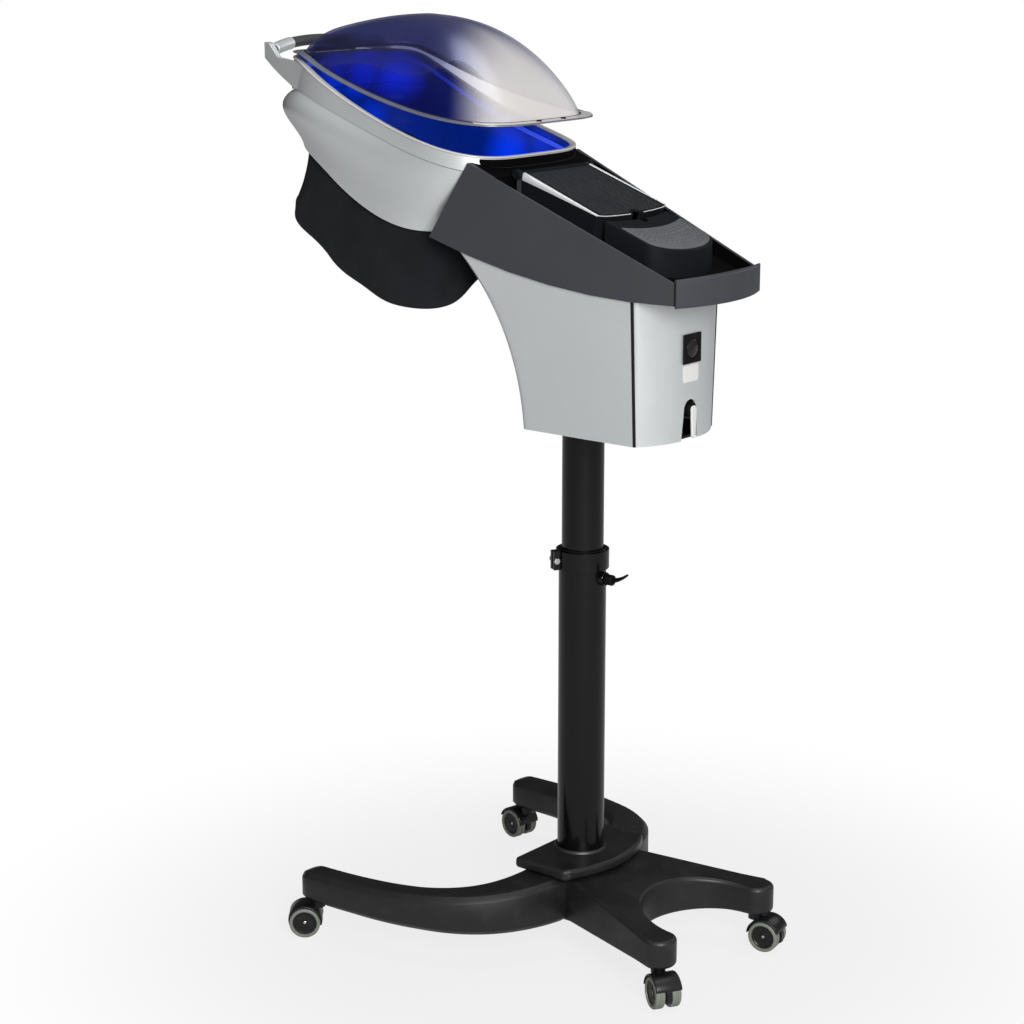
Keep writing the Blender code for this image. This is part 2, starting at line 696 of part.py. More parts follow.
def hub_cover():
    """Raised plate that hides the joint between arms and hub, with an arched rear edge."""
    rise = HUB_COVER_BACK - HUB_COVER_SIDE
    radius = (HUB_COVER_HALF ** 2 + rise ** 2) / (2 * rise)
    reach = math.degrees(math.asin(HUB_COVER_HALF / radius))
    outline = [(-HUB_COVER_HALF, -HUB_COVER_FRONT), (HUB_COVER_HALF, -HUB_COVER_FRONT)]
    outline += arc(0, HUB_COVER_BACK - radius, radius, 90 - reach, 90 + reach, 10)
    low = HUB_TOP + SEAT_GAP
    cover = plate("hub_cover", outline, low, low + HUB_COVER_HEIGHT, "satin_black", parent=FRAME)
    round_edges(cover, FRAME_BEVEL, segments=1)
    bore = cylinder("hub_cover_bore", TUBE_RADIUS + SEAT_GAP, HUB_COVER_HEIGHT * 3, "steel", sides=32,
                    parent=FRAME, at=(0, 0, low))
    return boolean(cover, bore)


def base():
    base_fork()
    base_arm("base_arm_left", 1)
    base_arm("base_arm_right", -1)
    hub_cover()
    inner = TUBE_RADIUS + SEAT_GAP
    low = HUB_COVER_TOP + SEAT_GAP
    profile = [(inner, low + FOOT_RING_HEIGHT), (inner + FOOT_RING_WIDTH * 0.6, low + FOOT_RING_HEIGHT),
               (inner + FOOT_RING_WIDTH, low), (inner, low)]
    turned("foot_ring", profile, "steel", steps=32, ring=True, parent=FRAME)


# Column

def tube_profile(radius, wall, low, high):
    return [(radius, high), (radius, low), (radius - wall, low), (radius - wall, high)]


def outer_tube():
    """Fixed tube with the boss of the lock screw on its rear side."""
    profile = tube_profile(TUBE_RADIUS, TUBE_WALL, HUB_TOP - TUBE_SOCKET + SEAT_GAP, TUBE_TOP)
    tube = turned("outer_tube", profile, "satin_black", steps=32, ring=True, parent=FRAME)
    start = TUBE_RADIUS - TUBE_WALL / 2
    stop = TUBE_RADIUS + LOCK_BOSS_REACH
    boss = cylinder("lock_boss", LOCK_BOSS_RADIUS, stop - start, "satin_black", axis="Y", sides=20,
                    parent=FRAME, at=(0, (start + stop) / 2, LOCK_HEIGHT))
    bore = cylinder("lock_bore", LOCK_RADIUS + SEAT_GAP, TUBE_RADIUS, "satin_black", axis="Y", sides=16,
                    parent=FRAME, at=(0, TUBE_RADIUS, LOCK_HEIGHT))
    boolean(tube, boss, "UNION")
    return boolean(tube, bore)


def clamp_collar():
    """Split collar round the top of the tube, with two ears and their bolt hole."""
    facets = 22
    inner = (TUBE_RADIUS + SEAT_GAP) / math.cos(math.pi / facets)
    outer = inner + COLLAR_WALL
    gap = COLLAR_SPLIT / 2
    ear = gap + EAR_THICKNESS
    reach = outer + COLLAR_EAR
    opening = math.degrees(math.asin(ear / outer))
    slit = math.degrees(math.asin(gap / inner))
    outline = arc(0, 0, outer, opening, 360 - opening, facets)
    outline += [(reach, -ear), (reach, -gap)]
    outline += arc(0, 0, inner, 360 - slit, slit, facets)
    outline += [(reach, gap), (reach, ear)]
    low = TUBE_TOP - COLLAR_HEIGHT
    collar = plate("clamp_collar", outline, low, TUBE_TOP, "satin_black", parent=FRAME, turn=(0, 0, EAR_ANGLE))
    place = outer + COLLAR_EAR * 0.55
    hole = cylinder("ear_bolt_hole", EAR_BOLT_RADIUS, ear * 4, "steel", axis="Y", sides=16, parent=collar,
                    at=(place, 0, low + COLLAR_HEIGHT / 2))
    return boolean(collar, hole)


def guide_bush():
    """Plastic bush between mast and tube, with a lip that rests on the tube."""
    inner = MAST_RADIUS + SEAT_GAP
    outer = TUBE_RADIUS - TUBE_WALL - SEAT_GAP
    top = TUBE_TOP + SEAT_GAP + BUSH_LIP
    profile = [(inner, top), (TUBE_RADIUS, top), (TUBE_RADIUS, TUBE_TOP + SEAT_GAP), (outer, TUBE_TOP + SEAT_GAP),
               (outer, TUBE_TOP - BUSH_HEIGHT), (inner, TUBE_TOP - BUSH_HEIGHT)]
    return turned("guide_bush", profile, "black_plastic", steps=32, ring=True, parent=FRAME)


def lock_lever():
    """Screw with a knob and a bent lever; it turns about the screw."""
    holder = empty("lock_axis", (0, 0, LOCK_HEIGHT), FRAME)
    tip = MAST_RADIUS + RUN_GAP
    knob = TUBE_RADIUS + LOCK_BOSS_REACH + RUN_GAP
    end = knob + LOCK_KNOB_LENGTH
    profile = [(0, end), (LOCK_KNOB_RADIUS * 0.8, end), (LOCK_KNOB_RADIUS, end - 0.002), (LOCK_KNOB_RADIUS, knob),
               (LOCK_RADIUS, knob), (LOCK_RADIUS, tip), (0, tip)]
    screw = turned("lock_lever", profile, "black_plastic", steps=20, parent=holder, turn=(-math.pi / 2, 0, 0))
    rings = []
    for t, half, thick in ((0, 0.0055, 0.0045), (0.35, 0.0045, 0.004), (0.8, 0.0065, 0.003), (1, 0.0045, 0.002)):
        centre = Vector((0, end - LOCK_KNOB_LENGTH * 0.5 + LOCK_LEVER_LENGTH * t, LOCK_LEVER_RISE * t * t))
        rings.append([centre + Vector((half * math.cos(a), 0, thick * math.sin(a)))
                      for a in (math.tau * i / 8 for i in range(8))])
    lever = loft("lever_bar", rings, "black_plastic", parent=holder)
    return boolean(screw, lever, "UNION")


def column():
    outer_tube()
    clamp_collar()
    guide_bush()
    lock_lever()
    top = HEAD_HEIGHT + FLOOR_TOP + SOCKET_HEIGHT - SEAT_GAP
    turned("inner_tube", tube_profile(MAST_RADIUS, MAST_WALL, MAST_FOOT, top), "satin_black",
           steps=32, ring=True, parent=MAST)


# Steam housing, in the head's own frame: heights above the housing's underside

def cowl_half(y):
    return COWL_HALF - COWL_TAPER * y


def cowl_low(y):
    return COWL_EDGE_LOW + (y - COWL_EDGE_FLAT) ** 2 / (2 * COWL_EDGE_RADIUS)


def cowl_top(y):
    return COWL_TOP - COWL_SLOPE * y


def deck(y):
    return DECK_FRONT - DECK_SLOPE * (y - BULKHEAD)


def housing_half(y, z):
    """Half width of the housing: drafted outwards up to the cowl's lower edge."""
    top = cowl_half(y) - COWL_WALL - SEAT_GAP
    return mix(HOUSING_HALF, top, min(1, z / cowl_low(y)))


def front_curve(t):
    """Side profile of the front wall: upright at the bottom, sweeping forward at the top."""
    low = HOUSING_FRONT
    high = HOUSING_FRONT - HOUSING_BRIDGE
    tall = cowl_low(high)
    run = [(0, low, 0), (0, low, 0.37 * tall), (0, low - 0.28 * HOUSING_BRIDGE, 0.70 * tall), (0, high, tall)]
    return bezier(run, t)


def housing_ring(t, inset):
    """Half of one wall course, from the rear seam to the middle of the front wall."""
    front = front_curve(min(1, t))
    share = front.z / cowl_low(front.y)
    lift = PANEL_TUCK * max(0, t - 1)
    corner = HOUSING_CORNER
    points = []
    nose = front.y + inset
    for i in range(7):
        y = mix(HOUSING_BACK - SEAT_GAP, nose + corner, i / 6)
        z = share * cowl_low(y) + lift
        points.append(Vector((housing_half(y, z) - inset, y, z)))
    z = share * cowl_low(nose) + lift
    half = housing_half(nose + corner, z) - inset
    bend = max(corner - inset, 0.002)
    for a in (30, 60, 90):
        turn = math.radians(a)
        points.append(Vector((half - bend * (1 - math.cos(turn)), nose + corner - corner * math.sin(turn), z)))
    points.append(Vector((0, nose, z)))
    return points


def housing_shell():
    """Front wall and both sides in one moulding, open at the rear, top and bottom."""
    courses = [0, 0.2, 0.4, 0.6, 0.8, 1.0, 2.0]
    outside = [housing_ring(t, 0) for t in courses]
    inside = [housing_ring(t, PANEL_WALL) for t in courses]
    sections = []
    for i in range(len(outside[0])):
        sections.append([row[i] for row in outside] + [row[i] for row in reversed(inside)])
    mirrored = [[Vector((-p.x, p.y, p.z)) for p in section] for section in reversed(sections[:-1])]
    return loft("housing_shell", sections + mirrored, "silver_plastic", parent=HEAD)


def rear_bow(x, half):
    """How far the rear panel stands behind its seam."""
    return REAR_BULGE * (1 - abs(x / half) ** 2.5)


def rear_panel():
    """Convex rear panel with a round switch hole and an arched notch for the drain tap."""
    sections = []
    count = 20
    for i in range(count + 1):
        section = []
        for inset, heights in ((0, (0, 0.5, 1)), (PANEL_WALL, (1, 0.5, 0))):
            for share in heights:
                z = share * (cowl_low(HOUSING_BACK) + PANEL_TUCK)
                half = housing_half(HOUSING_BACK, z)
                x = mix(half, -half, i / count) * (1 - inset * 1.3 / half)
                section.append(Vector((x, HOUSING_BACK + SEAT_GAP + rear_bow(x, half) - inset, z)))
        sections.append(section)
    panel = loft("rear_panel", sections, "silver_plastic", parent=HEAD)
    hole = cylinder("switch_hole", SWITCH_BARREL + SEAT_GAP, REAR_BULGE, "steel", axis="Y",
                    parent=HEAD, at=(0, REAR_FACE, SWITCH_HEIGHT))
    boolean(panel, hole)
    outline = [(-NOTCH_FOOT_HALF, -0.01), (NOTCH_FOOT_HALF, -0.01)]
    outline += arc(0, DRAIN_HEIGHT, NOTCH_TOP_RADIUS, 0, 180, 10)
    notch = plate("drain_notch", outline, -REAR_BULGE, REAR_BULGE, "steel", parent=HEAD,
                  at=(0, REAR_FACE, 0), turn=(math.pi / 2, 0, 0))
    return boolean(panel, notch)


def floor_plate():
    """Bottom plate that carries the column socket, the boiler, the drain tap and the cable gland."""
    inset = PANEL_WALL + SEAT_GAP
    half = housing_half(HOUSING_BACK, 0) - inset
    front = HOUSING_FRONT + inset
    corner = HOUSING_CORNER
    outline = [(HOUSING_HALF - inset - corner, front), (HOUSING_HALF - inset, front + corner)]
    for i in range(17):
        x = mix(half, -half, i / 16)
        outline.append((x, HOUSING_BACK + rear_bow(x, half) - inset))
    outline += [(inset - HOUSING_HALF, front + corner), (inset + corner - HOUSING_HALF, front)]
    floor = plate("floor_plate", outline, FLOOR_RISE, FLOOR_TOP, "satin_black", parent=HEAD)
    bore = cylinder("mast_bore", MAST_RADIUS + SEAT_GAP, FLOOR_WALL * 4, "steel", sides=32, parent=HEAD,
                    at=(0, 0, FLOOR_RISE))
    boolean(floor, bore)
    inlet = cylinder("gland_hole", GLAND_RADIUS + SEAT_GAP, FLOOR_WALL * 4, "steel", sides=20, parent=HEAD,
                     at=(*GLAND_PLACE, FLOOR_RISE))
    return boolean(floor, inlet)


def column_socket():
    """Cap that sits on the mast and carries the housing."""
    inner = MAST_RADIUS + SEAT_GAP
    outer = inner + SOCKET_WALL
    low = FLOOR_TOP + SEAT_GAP
    roof = FLOOR_TOP + SOCKET_HEIGHT
    top = roof + SOCKET_WALL
    profile = [(0, top), (outer, top), (outer, low + SOCKET_WALL), (outer + SOCKET_FLANGE, low + SOCKET_WALL),
               (outer + SOCKET_FLANGE, low), (inner, low), (inner, roof), (0, roof)]
    return turned("column_socket", profile, "steel", steps=32, parent=HEAD)


def cable_gland():
    """Grommet in the floor plate where the mains lead enters."""
    flange = GLAND_RADIUS + GLAND_FLANGE
    low = FLOOR_RISE - SEAT_GAP
    bore = GLAND_RADIUS * 0.5
    profile = [(bore, FLOOR_TOP + 0.004), (GLAND_RADIUS, FLOOR_TOP + 0.004), (GLAND_RADIUS, low), (flange, low),
               (flange, low - GLAND_FLANGE), (GLAND_RADIUS * 0.8, low - 2 * GLAND_FLANGE),
               (bore, low - 2 * GLAND_FLANGE)]
    return turned("cable_gland", profile, "black_plastic", steps=14, ring=True, parent=HEAD, at=(*GLAND_PLACE, 0))


def slab(name, stations, low, high, half, finish):
    """Loft of upright rectangles along Y; each limit is a function of the place."""
    rings = []
    for y in stations:
        w, a, b = half(y), low(y), high(y)
        rings.append([Vector((-w, y, a)), Vector((w, y, a)), Vector((w, y, b)), Vector((-w, y, b))])
    return loft(name, rings, finish, parent=HEAD)


def hood_plan(centre, half_width, half_length, inset=0.0, full=0.0):
    """Plan of the hood, a rounded rectangle, started at the front and running round.

    The inset draws it in all round; the fullness swells it towards the front only.
    """
    points = []
    for i in range(HOOD_POINTS):
        a = math.tau * (i + 0.5) / HOOD_POINTS - math.pi / 2
        c, s = math.cos(a), math.sin(a)
        reach = (abs(c) ** HOOD_SQUARE + abs(s) ** HOOD_SQUARE) ** (-1 / HOOD_SQUARE)
        out = full * (1 - s) / 2 - inset
        points.append(((half_width + out) * c * reach, centre + (half_length + out) * s * reach))
    return points


def rim_height(y):
    """Side profile of the rim: rising towards the front, where it levels out."""
    if y < RIM_LEVEL:
        y = RIM_LEVEL - RIM_EASE * (1 - math.exp((y - RIM_LEVEL) / RIM_EASE))
    s = y - RIM_REAR[0]
    return RIM_REAR[1] - RIM_SLOPE * s + s * s / (2 * RIM_RADIUS)


def band_foot(y):
    """Lower edge of the upper band, deeper at the front."""
    return rim_height(y) - BAND_HEIGHT - min(0, y - BAND_FRONT_FLAT) ** 2 / (2 * BAND_FRONT_RADIUS)


def mouth_height(y):
    return MOUTH_LEVEL + min(0, y - MOUTH_FLAT) ** 2 / (2 * MOUTH_RADIUS)


def hood_half_at(y):
    """Half width of the rim's plan at one place."""
    share = abs(y - HOOD_CENTRE) / HOOD_HALF_LENGTH
    return HOOD_HALF_WIDTH * (1 - share ** HOOD_SQUARE) ** (1 / HOOD_SQUARE)


def rim_ring(inset=0.0, lift=0.0):
    plan = hood_plan(HOOD_CENTRE, HOOD_HALF_WIDTH, HOOD_HALF_LENGTH, inset)
    edge = hood_plan(HOOD_CENTRE, HOOD_HALF_WIDTH, HOOD_HALF_LENGTH)
    return [Vector((x, y, rim_height(level) + lift)) for (x, y), (_, level) in zip(plan, edge)]


def hood_ring(t, inset=0.0, gap=0.0):
    """A course of the hood between the foot of the band and the mouth."""
    full = BAND_FLARE * (1 - t) + HOOD_BULGE * 4 * t * (1 - t) ** 2
    plan = hood_plan(mix(HOOD_CENTRE, MOUTH_CENTRE, t), mix(HOOD_HALF_WIDTH, MOUTH_HALF_WIDTH, t),
                     mix(HOOD_HALF_LENGTH, MOUTH_HALF_LENGTH, t), inset, full)
    top = [band_foot(y) for x, y in hood_plan(HOOD_CENTRE, HOOD_HALF_WIDTH, HOOD_HALF_LENGTH)]
    mouth = [mouth_height(y) for x, y in hood_plan(MOUTH_CENTRE, MOUTH_HALF_WIDTH, MOUTH_HALF_LENGTH)]
    return [Vector((x, y, mix(a - gap, b, t))) for (x, y), a, b in zip(plan, top, mouth)]


def hood_envelope():
    """Outside of the whole hood with a seat gap, used to shape the neck of the cowl."""
    rings = [rim_ring(-SEAT_GAP, 0.05), rim_ring(-SEAT_GAP)] + [hood_ring(t, -SEAT_GAP) for t in HOOD_COURSES]
    rings.append([p + Vector((0, 0, -0.05)) for p in rings[-1]])
    return loft("hood_envelope", rings, "steel", parent=HEAD)


def port_level():
    return cowl_low(BULKHEAD) + PORT_HEIGHT


def steam_port(name, clearance):
    """Straight hole for the steam nozzle."""
    return cylinder(name, PORT_RADIUS + clearance, NOZZLE_BACK - NOZZLE_FRONT + 0.06, "steel", axis="Y", sides=20,
                    parent=HEAD, at=(PORT_SIDE, (NOZZLE_BACK + NOZZLE_FRONT) / 2, port_level()))


def hinge_place():
    """Axis of the tank cover's hinge: at its front upper edge."""
    y = COVER_FRONT - HINGE_RADIUS
    return y, deck(y) + COVER_RISE - HINGE_RADIUS


def cowl():
    """Dark moulded trough that joins housing and hood: side walls, sloping deck and neck."""
    back = COWL_BACK
    steps = [i / 6 for i in range(7)]
    rings = []
    for s in steps:
        ring = []
        for hand, edge in ((-1, 0), (1, 0), (1, 1), (-1, 1)):
            y = mix(mix(COWL_NECK_LOW, COWL_NECK_TOP, edge), back, s)
            ring.append(Vector((hand * cowl_half(y), y, mix(cowl_low(y), cowl_top(y), edge))))
        rings.append(ring)
    body = loft("cowl", rings, "slate_plastic", parent=HEAD)
    over = back + 0.05
    well = slab("cowl_well", [mix(BULKHEAD, over, s) for s in steps], deck, lambda y: cowl_top(y) + 0.1,
                lambda y: cowl_half(y) - COWL_WALL, "steel")
    boolean(body, well)
    neck_roof = cowl_low(CAVITY_FRONT) + PANEL_TUCK + CAVITY_NECK
    stations = [CAVITY_FRONT] + [mix(BULKHEAD, over, s) for s in steps]
    cavity = slab("cowl_cavity", stations, lambda y: cowl_low(y) - 0.05,
                  lambda y: neck_roof if y == CAVITY_FRONT else deck(y) - DECK_WALL,
                  lambda y: cowl_half(y) - COWL_WALL, "steel")
    boolean(body, cavity)
    boolean(body, hood_envelope())
    boolean(body, steam_port("neck_port", SEAT_GAP))
    fill_half = TANK_HALF - TANK_WALL - FILL_INSET
    middle = (TANK_FRONT + TANK_BACK) / 2
    fill = block("fill_opening", (2 * fill_half, TANK_BACK - TANK_FRONT - 2 * (TANK_WALL + FILL_INSET), 0.2), "steel",
                 parent=HEAD, at=(0, middle, deck(middle)))
    boolean(body, fill)
    y, z = hinge_place()
    radius = HINGE_RADIUS - RUN_GAP
    floor = deck(y + HINGE_RADIUS * 2) - DECK_WALL / 2
    for hand in (1, -1):
        lug = eyelet(f"cover_lug_{hand}", radius, [(-radius, floor - z), (radius, floor - z)], "slate_plastic",
                     parent=HEAD, at=(hand * (COVER_HALF - HINGE_LUG / 2), y, z))
        boolean(body, lug, "UNION")
    bore = cylinder("cover_pin_bore", HINGE_PIN + SEAT_GAP, COVER_HALF * 2 + 0.01, "steel", axis="X", sides=16,
                    parent=HEAD, at=(0, y, z))
    return boolean(body, bore)


def rear_grip():
    """Curved lip across the rear of the cowl, used to push the steamer."""
    half = cowl_half(COWL_BACK)
    rings = []
    count = 16
    for i in range(count + 1):
        x = mix(-half, half, i / count)
        round_off = 1 - (x / half) ** 2
        front = COWL_BACK + SEAT_GAP
        back = front + GRIP_EDGE + GRIP_BULGE * round_off
        top = GRIP_TOP + GRIP_CROWN * round_off
        soft = GRIP_SOFT
        rings.append([Vector((x, front, GRIP_FOOT)), Vector((x, back - soft, GRIP_FOOT)),
                      Vector((x, back, GRIP_FOOT + soft)), Vector((x, back, top - soft)),
                      Vector((x, back - soft, top)), Vector((x, front, top))])
    return loft("rear_grip", rings, "slate_plastic", parent=HEAD)


# Tank, cover and controls

def deck_ring(half, front, back, bow, lift):
    """Outline at a height above the sloping deck: straight front and sides, arched rear edge."""
    points = [(-half, front), (half, front), (half, mix(front, back, 0.5))]
    points += [(half * math.cos(math.radians(a)), back - bow + bow * math.sin(math.radians(a)))
               for a in range(0, 181, 20)]
    points.append((-half, mix(front, back, 0.5)))
    return [Vector((x, y, deck(y) + lift)) for x, y in points]


def water_tank():
    """Open tank that hangs under the deck by its flange."""
    def ring(half, inset, height):
        return [Vector((x, y, height(y))) for x, y in (
            (-half, TANK_FRONT + inset), (half, TANK_FRONT + inset), (half, TANK_BACK - inset),
            (-half, TANK_BACK - inset))]

    def roof(y):
        return deck(y) - DECK_WALL - SEAT_GAP

    flange = TANK_HALF + TANK_FLANGE
    rings = [ring(TANK_HALF, 0, lambda y: TANK_FLOOR), ring(TANK_HALF, 0, lambda y: roof(y) - TANK_WALL),
             ring(flange, -TANK_FLANGE, lambda y: roof(y) - TANK_WALL), ring(flange, -TANK_FLANGE, roof),
             ring(TANK_HALF - TANK_WALL, TANK_WALL, roof),
             ring(TANK_HALF - TANK_WALL, TANK_WALL, lambda y: TANK_FLOOR + TANK_WALL)]
    return loft("water_tank", rings, "white_plastic", parent=HEAD)


def tank_cover():
    """Raised cover over the tank: hinged at its front, with a finger notch in its rear edge."""
    y, z = hinge_place()
    wall = COVER_WALL
    inside = (COVER_HALF - wall, COVER_FRONT + wall, COVER_BACK - wall, COVER_BOW)
    outside = (COVER_HALF, COVER_FRONT, COVER_BACK, COVER_BOW)
    rings = [deck_ring(*inside, COVER_RISE - wall), deck_ring(*inside, SEAT_GAP),
             deck_ring(*outside, SEAT_GAP), deck_ring(*outside, COVER_RISE)]
    cover = loft("tank_cover", rings, "black_plastic", parent=COVER, at=(0, -y, -z))
    length = 2 * (COVER_HALF - HINGE_LUG - RUN_GAP)
    barrel = cylinder("cover_barrel", HINGE_RADIUS, length, "black_plastic", axis="X", sides=16, parent=COVER)
    boolean(cover, barrel, "UNION")
    tilt = math.atan(DECK_SLOPE)
    drop = HINGE_RADIUS * (1 - DECK_SLOPE) - wall / 2 / math.cos(tilt)
    leaf = block("cover_leaf", (length, HINGE_RADIUS * 2, wall * 0.8), "black_plastic", parent=COVER,
                 at=(0, HINGE_RADIUS, drop), turn=(-tilt, 0, 0))
    boolean(cover, leaf, "UNION")
    bore = cylinder("cover_barrel_bore", HINGE_PIN + SEAT_GAP, length * 2, "steel", axis="X", sides=16,
                    parent=COVER)
    boolean(cover, bore)
    notch = cylinder("finger_notch", COVER_NOTCH_RADIUS, COVER_RISE, "steel", sides=20, parent=COVER,
                     at=(0, COVER_BACK - y, deck(COVER_BACK) + COVER_RISE - z))
    return boolean(cover, notch)


def cover_trim():
    """Bright strip along the sides and front of the cover's top."""
    y, z = hinge_place()
    back = COVER_BACK - COVER_BOW
    foot = COVER_RISE + SEAT_GAP
    outer, inner = COVER_HALF, COVER_HALF - TRIM_WIDTH
    rings = []
    for x, place in ((outer, back), (outer, COVER_FRONT), (-outer, COVER_FRONT), (-outer, back)):
        inward = math.copysign(inner, x)
        inside = max(place, COVER_FRONT + TRIM_WIDTH)
        rings.append([Vector((x, place, deck(place) + foot)), Vector((x, place, deck(place) + foot + TRIM_HEIGHT)),
                      Vector((inward, inside, deck(inside) + foot + TRIM_HEIGHT)),
                      Vector((inward, inside, deck(inside) + foot))])
    return loft("cover_trim", rings, "silver_plastic", parent=COVER, at=(0, -y, -z))


def control_plinth():
    """Hollow block behind the cover, with a round rear end, that carries the keypad."""
    inside = (PLINTH_HALF - PLINTH_WALL, PLINTH_FRONT + PLINTH_WALL, PLINTH_BACK - PLINTH_WALL, PLINTH_BOW)
    outside = (PLINTH_HALF, PLINTH_FRONT, PLINTH_BACK, PLINTH_BOW)
    rings = [deck_ring(*inside, PLINTH_RISE - PLINTH_WALL), deck_ring(*inside, SEAT_GAP),
             deck_ring(*outside, SEAT_GAP), deck_ring(*outside, PLINTH_RISE)]
    return loft("control_plinth", rings, "black_plastic", parent=HEAD)


def keypad():
    """Membrane keypad, an arched band on the sloping top of the plinth."""
    front = PLINTH_FRONT + KEYPAD_INSET
    half = PLINTH_HALF - KEYPAD_INSET
    outline = (half, front, front + KEYPAD_DEPTH, KEYPAD_BOW)
    foot = PLINTH_RISE + SEAT_GAP
    rings = [deck_ring(*outline, foot), deck_ring(*outline, foot + KEYPAD_THICKNESS)]
    return loft("keypad", rings, "keypad_grey", parent=HEAD)


def control_board():
    """Circuit board under the roof of the plinth."""
    long, deep, thick = BOARD_SIZE
    y = PLINTH_FRONT + PLINTH_WALL + KEYPAD_INSET + deep / 2
    z = deck(y) + PLINTH_RISE - PLINTH_WALL - (SEAT_GAP + thick / 2) / math.cos(math.atan(DECK_SLOPE))
    return block("control_board", BOARD_SIZE, "board_green", parent=HEAD, at=(0, y, z),
                 turn=(-math.atan(DECK_SLOPE), 0, 0))


# Rear fittings

def switch():
    """Round rocker in a square bezel on the rear panel."""
    face = REAR_FACE + SEAT_GAP * 2
    bezel = block("switch_bezel", (SWITCH_PLATE, SWITCH_THICKNESS, SWITCH_PLATE), "black_plastic", parent=HEAD,
                  at=(0, face + SWITCH_THICKNESS / 2, SWITCH_HEIGHT))
    round_edges(bezel, 0.001, segments=1)
    barrel = cylinder("switch_barrel", SWITCH_BARREL, SWITCH_DEPTH, "black_plastic", axis="Y", parent=HEAD,
                      at=(0, face + 0.001 - SWITCH_DEPTH / 2, SWITCH_HEIGHT))
    boolean(bezel, barrel, "UNION")
    wall = SWITCH_BARREL - SWITCH_RADIUS
    hollow = cylinder("switch_hollow", SWITCH_RADIUS, SWITCH_DEPTH * 2, "black_plastic", axis="Y", parent=HEAD,
                      at=(0, face + 0.001 + wall, SWITCH_HEIGHT))
    boolean(bezel, hollow)
    holder = empty("rocker_axis", (0, face, SWITCH_HEIGHT), HEAD)
    radius = SWITCH_RADIUS - ROCKER_GAP
    half = ROCKER_THICKNESS / 2
    profile = [(0, half), (radius * 0.75, half * 0.9), (radius, half * 0.5), (radius, -half * 0.7), (0, -half * 0.7)]
    rocker = turned("power_rocker", profile, "black_plastic", steps=20, parent=holder, turn=(-math.pi / 2, 0, 0))
    pin = cylinder("rocker_pin", 0.0015, 2 * (SWITCH_RADIUS - SEAT_GAP) - 0.0003, "black_plastic", axis="X", sides=12,
                   parent=holder)
    return boolean(rocker, pin, "UNION")


def drain_tap():
    """Tap body on the floor plate and the white lever that turns on its spindle."""
    front = REAR_FACE + DRAIN_STANDOFF - RUN_GAP
    body = cylinder("drain_valve", DRAIN_RADIUS, DRAIN_LENGTH, "black_plastic", axis="Y", sides=20, parent=HEAD,
                    at=(0, front - DRAIN_LENGTH / 2, DRAIN_HEIGHT))
    low = FLOOR_TOP + SEAT_GAP
    stand = block("drain_stand", (DRAIN_RADIUS * 1.4, DRAIN_LENGTH * 0.4, DRAIN_HEIGHT - low), "black_plastic",
                  parent=HEAD, at=(0, front - DRAIN_LENGTH * 0.75, (DRAIN_HEIGHT + low) / 2))
    boolean(body, stand, "UNION")
    length, half, thick = DRAIN_LEVER
    holder = empty("drain_axis", (0, REAR_FACE + DRAIN_STANDOFF, DRAIN_HEIGHT), HEAD)
    outline = arc(0, 0, half * 1.5, 20, 160, 8) + arc(0, half - length, half, 180, 360, 8)
    lever = plate("drain_lever", outline, -thick, 0, "white_plastic", parent=holder, turn=(math.pi / 2, 0, 0))
    return round_edges(lever, 0.0008, segments=1)


# Steam path

def steam_path():
    """Boiler on the floor plate, duct up the side of the tank and nozzle through the neck into the hood."""
    x, y = BOILER_PLACE
    low = FLOOR_TOP + SEAT_GAP
    top = low + BOILER_HEIGHT
    shoulder = BOILER_SHOULDER
    neck = DUCT_RADIUS * 1.3
    profile = [(0, top), (neck, top), (neck, top - shoulder), (BOILER_RADIUS - shoulder, top - shoulder),
               (BOILER_RADIUS, top - 2 * shoulder), (BOILER_RADIUS, low), (0, low)]
    turned("boiler", profile, "steel", steps=20, parent=HEAD, at=(x, y, 0))
    end = NOZZLE_BACK + SEAT_GAP
    port = port_level()
    route = [(x, y, top + SEAT_GAP), (x, y, top + 0.006), (x, y, top + 0.012),
             (mix(x, DUCT_SIDE, 0.5), y - 0.006, top + 0.030),
             (DUCT_SIDE, y - 0.040, top + 0.062), (DUCT_SIDE, mix(y, end, 0.6), mix(top, port, 0.72)),
             (mix(DUCT_SIDE, PORT_SIDE, 0.45), end + 0.022, port - 0.004),
             (PORT_SIDE, end + 0.012, port), (PORT_SIDE, end + 0.006, port), (PORT_SIDE, end, port)]
    swept_tube("steam_duct", smooth_run(route, 3), DUCT_RADIUS, "black_plastic", HEAD)
    nozzle = cylinder("steam_nozzle", PORT_RADIUS, NOZZLE_BACK - NOZZLE_FRONT, "white_plastic", axis="Y", sides=20,
                      parent=HEAD, at=(PORT_SIDE, (NOZZLE_BACK + NOZZLE_FRONT) / 2, port))
    bore = cylinder("nozzle_bore", PORT_RADIUS - PORT_WALL, (NOZZLE_BACK - NOZZLE_FRONT) * 2, "steel", axis="Y",
                    sides=20, parent=HEAD, at=(PORT_SIDE, NOZZLE_BACK, port))
    return boolean(nozzle, bore)


# Hood

def grip_line():
    """Where the ends of the handle grip stand."""
    return HOOD_CENTRE - HOOD_HALF_LENGTH - HANDLE_FORWARD


def lid_hinge():
    """Axis of the lid: just in front of the rim, above its trim."""
    y = HOOD_CENTRE - HOOD_HALF_LENGTH - LID_HINGE_FORWARD
    return y, rim_height(y) + SEAT_GAP + TRIM_RING_HEIGHT + LID_GAP + LID_WALL / 2


def rim_tilt(low, high):
    """Angle of the rim's slope between two places."""
    return math.atan2(rim_height(high) - rim_height(low), high - low)


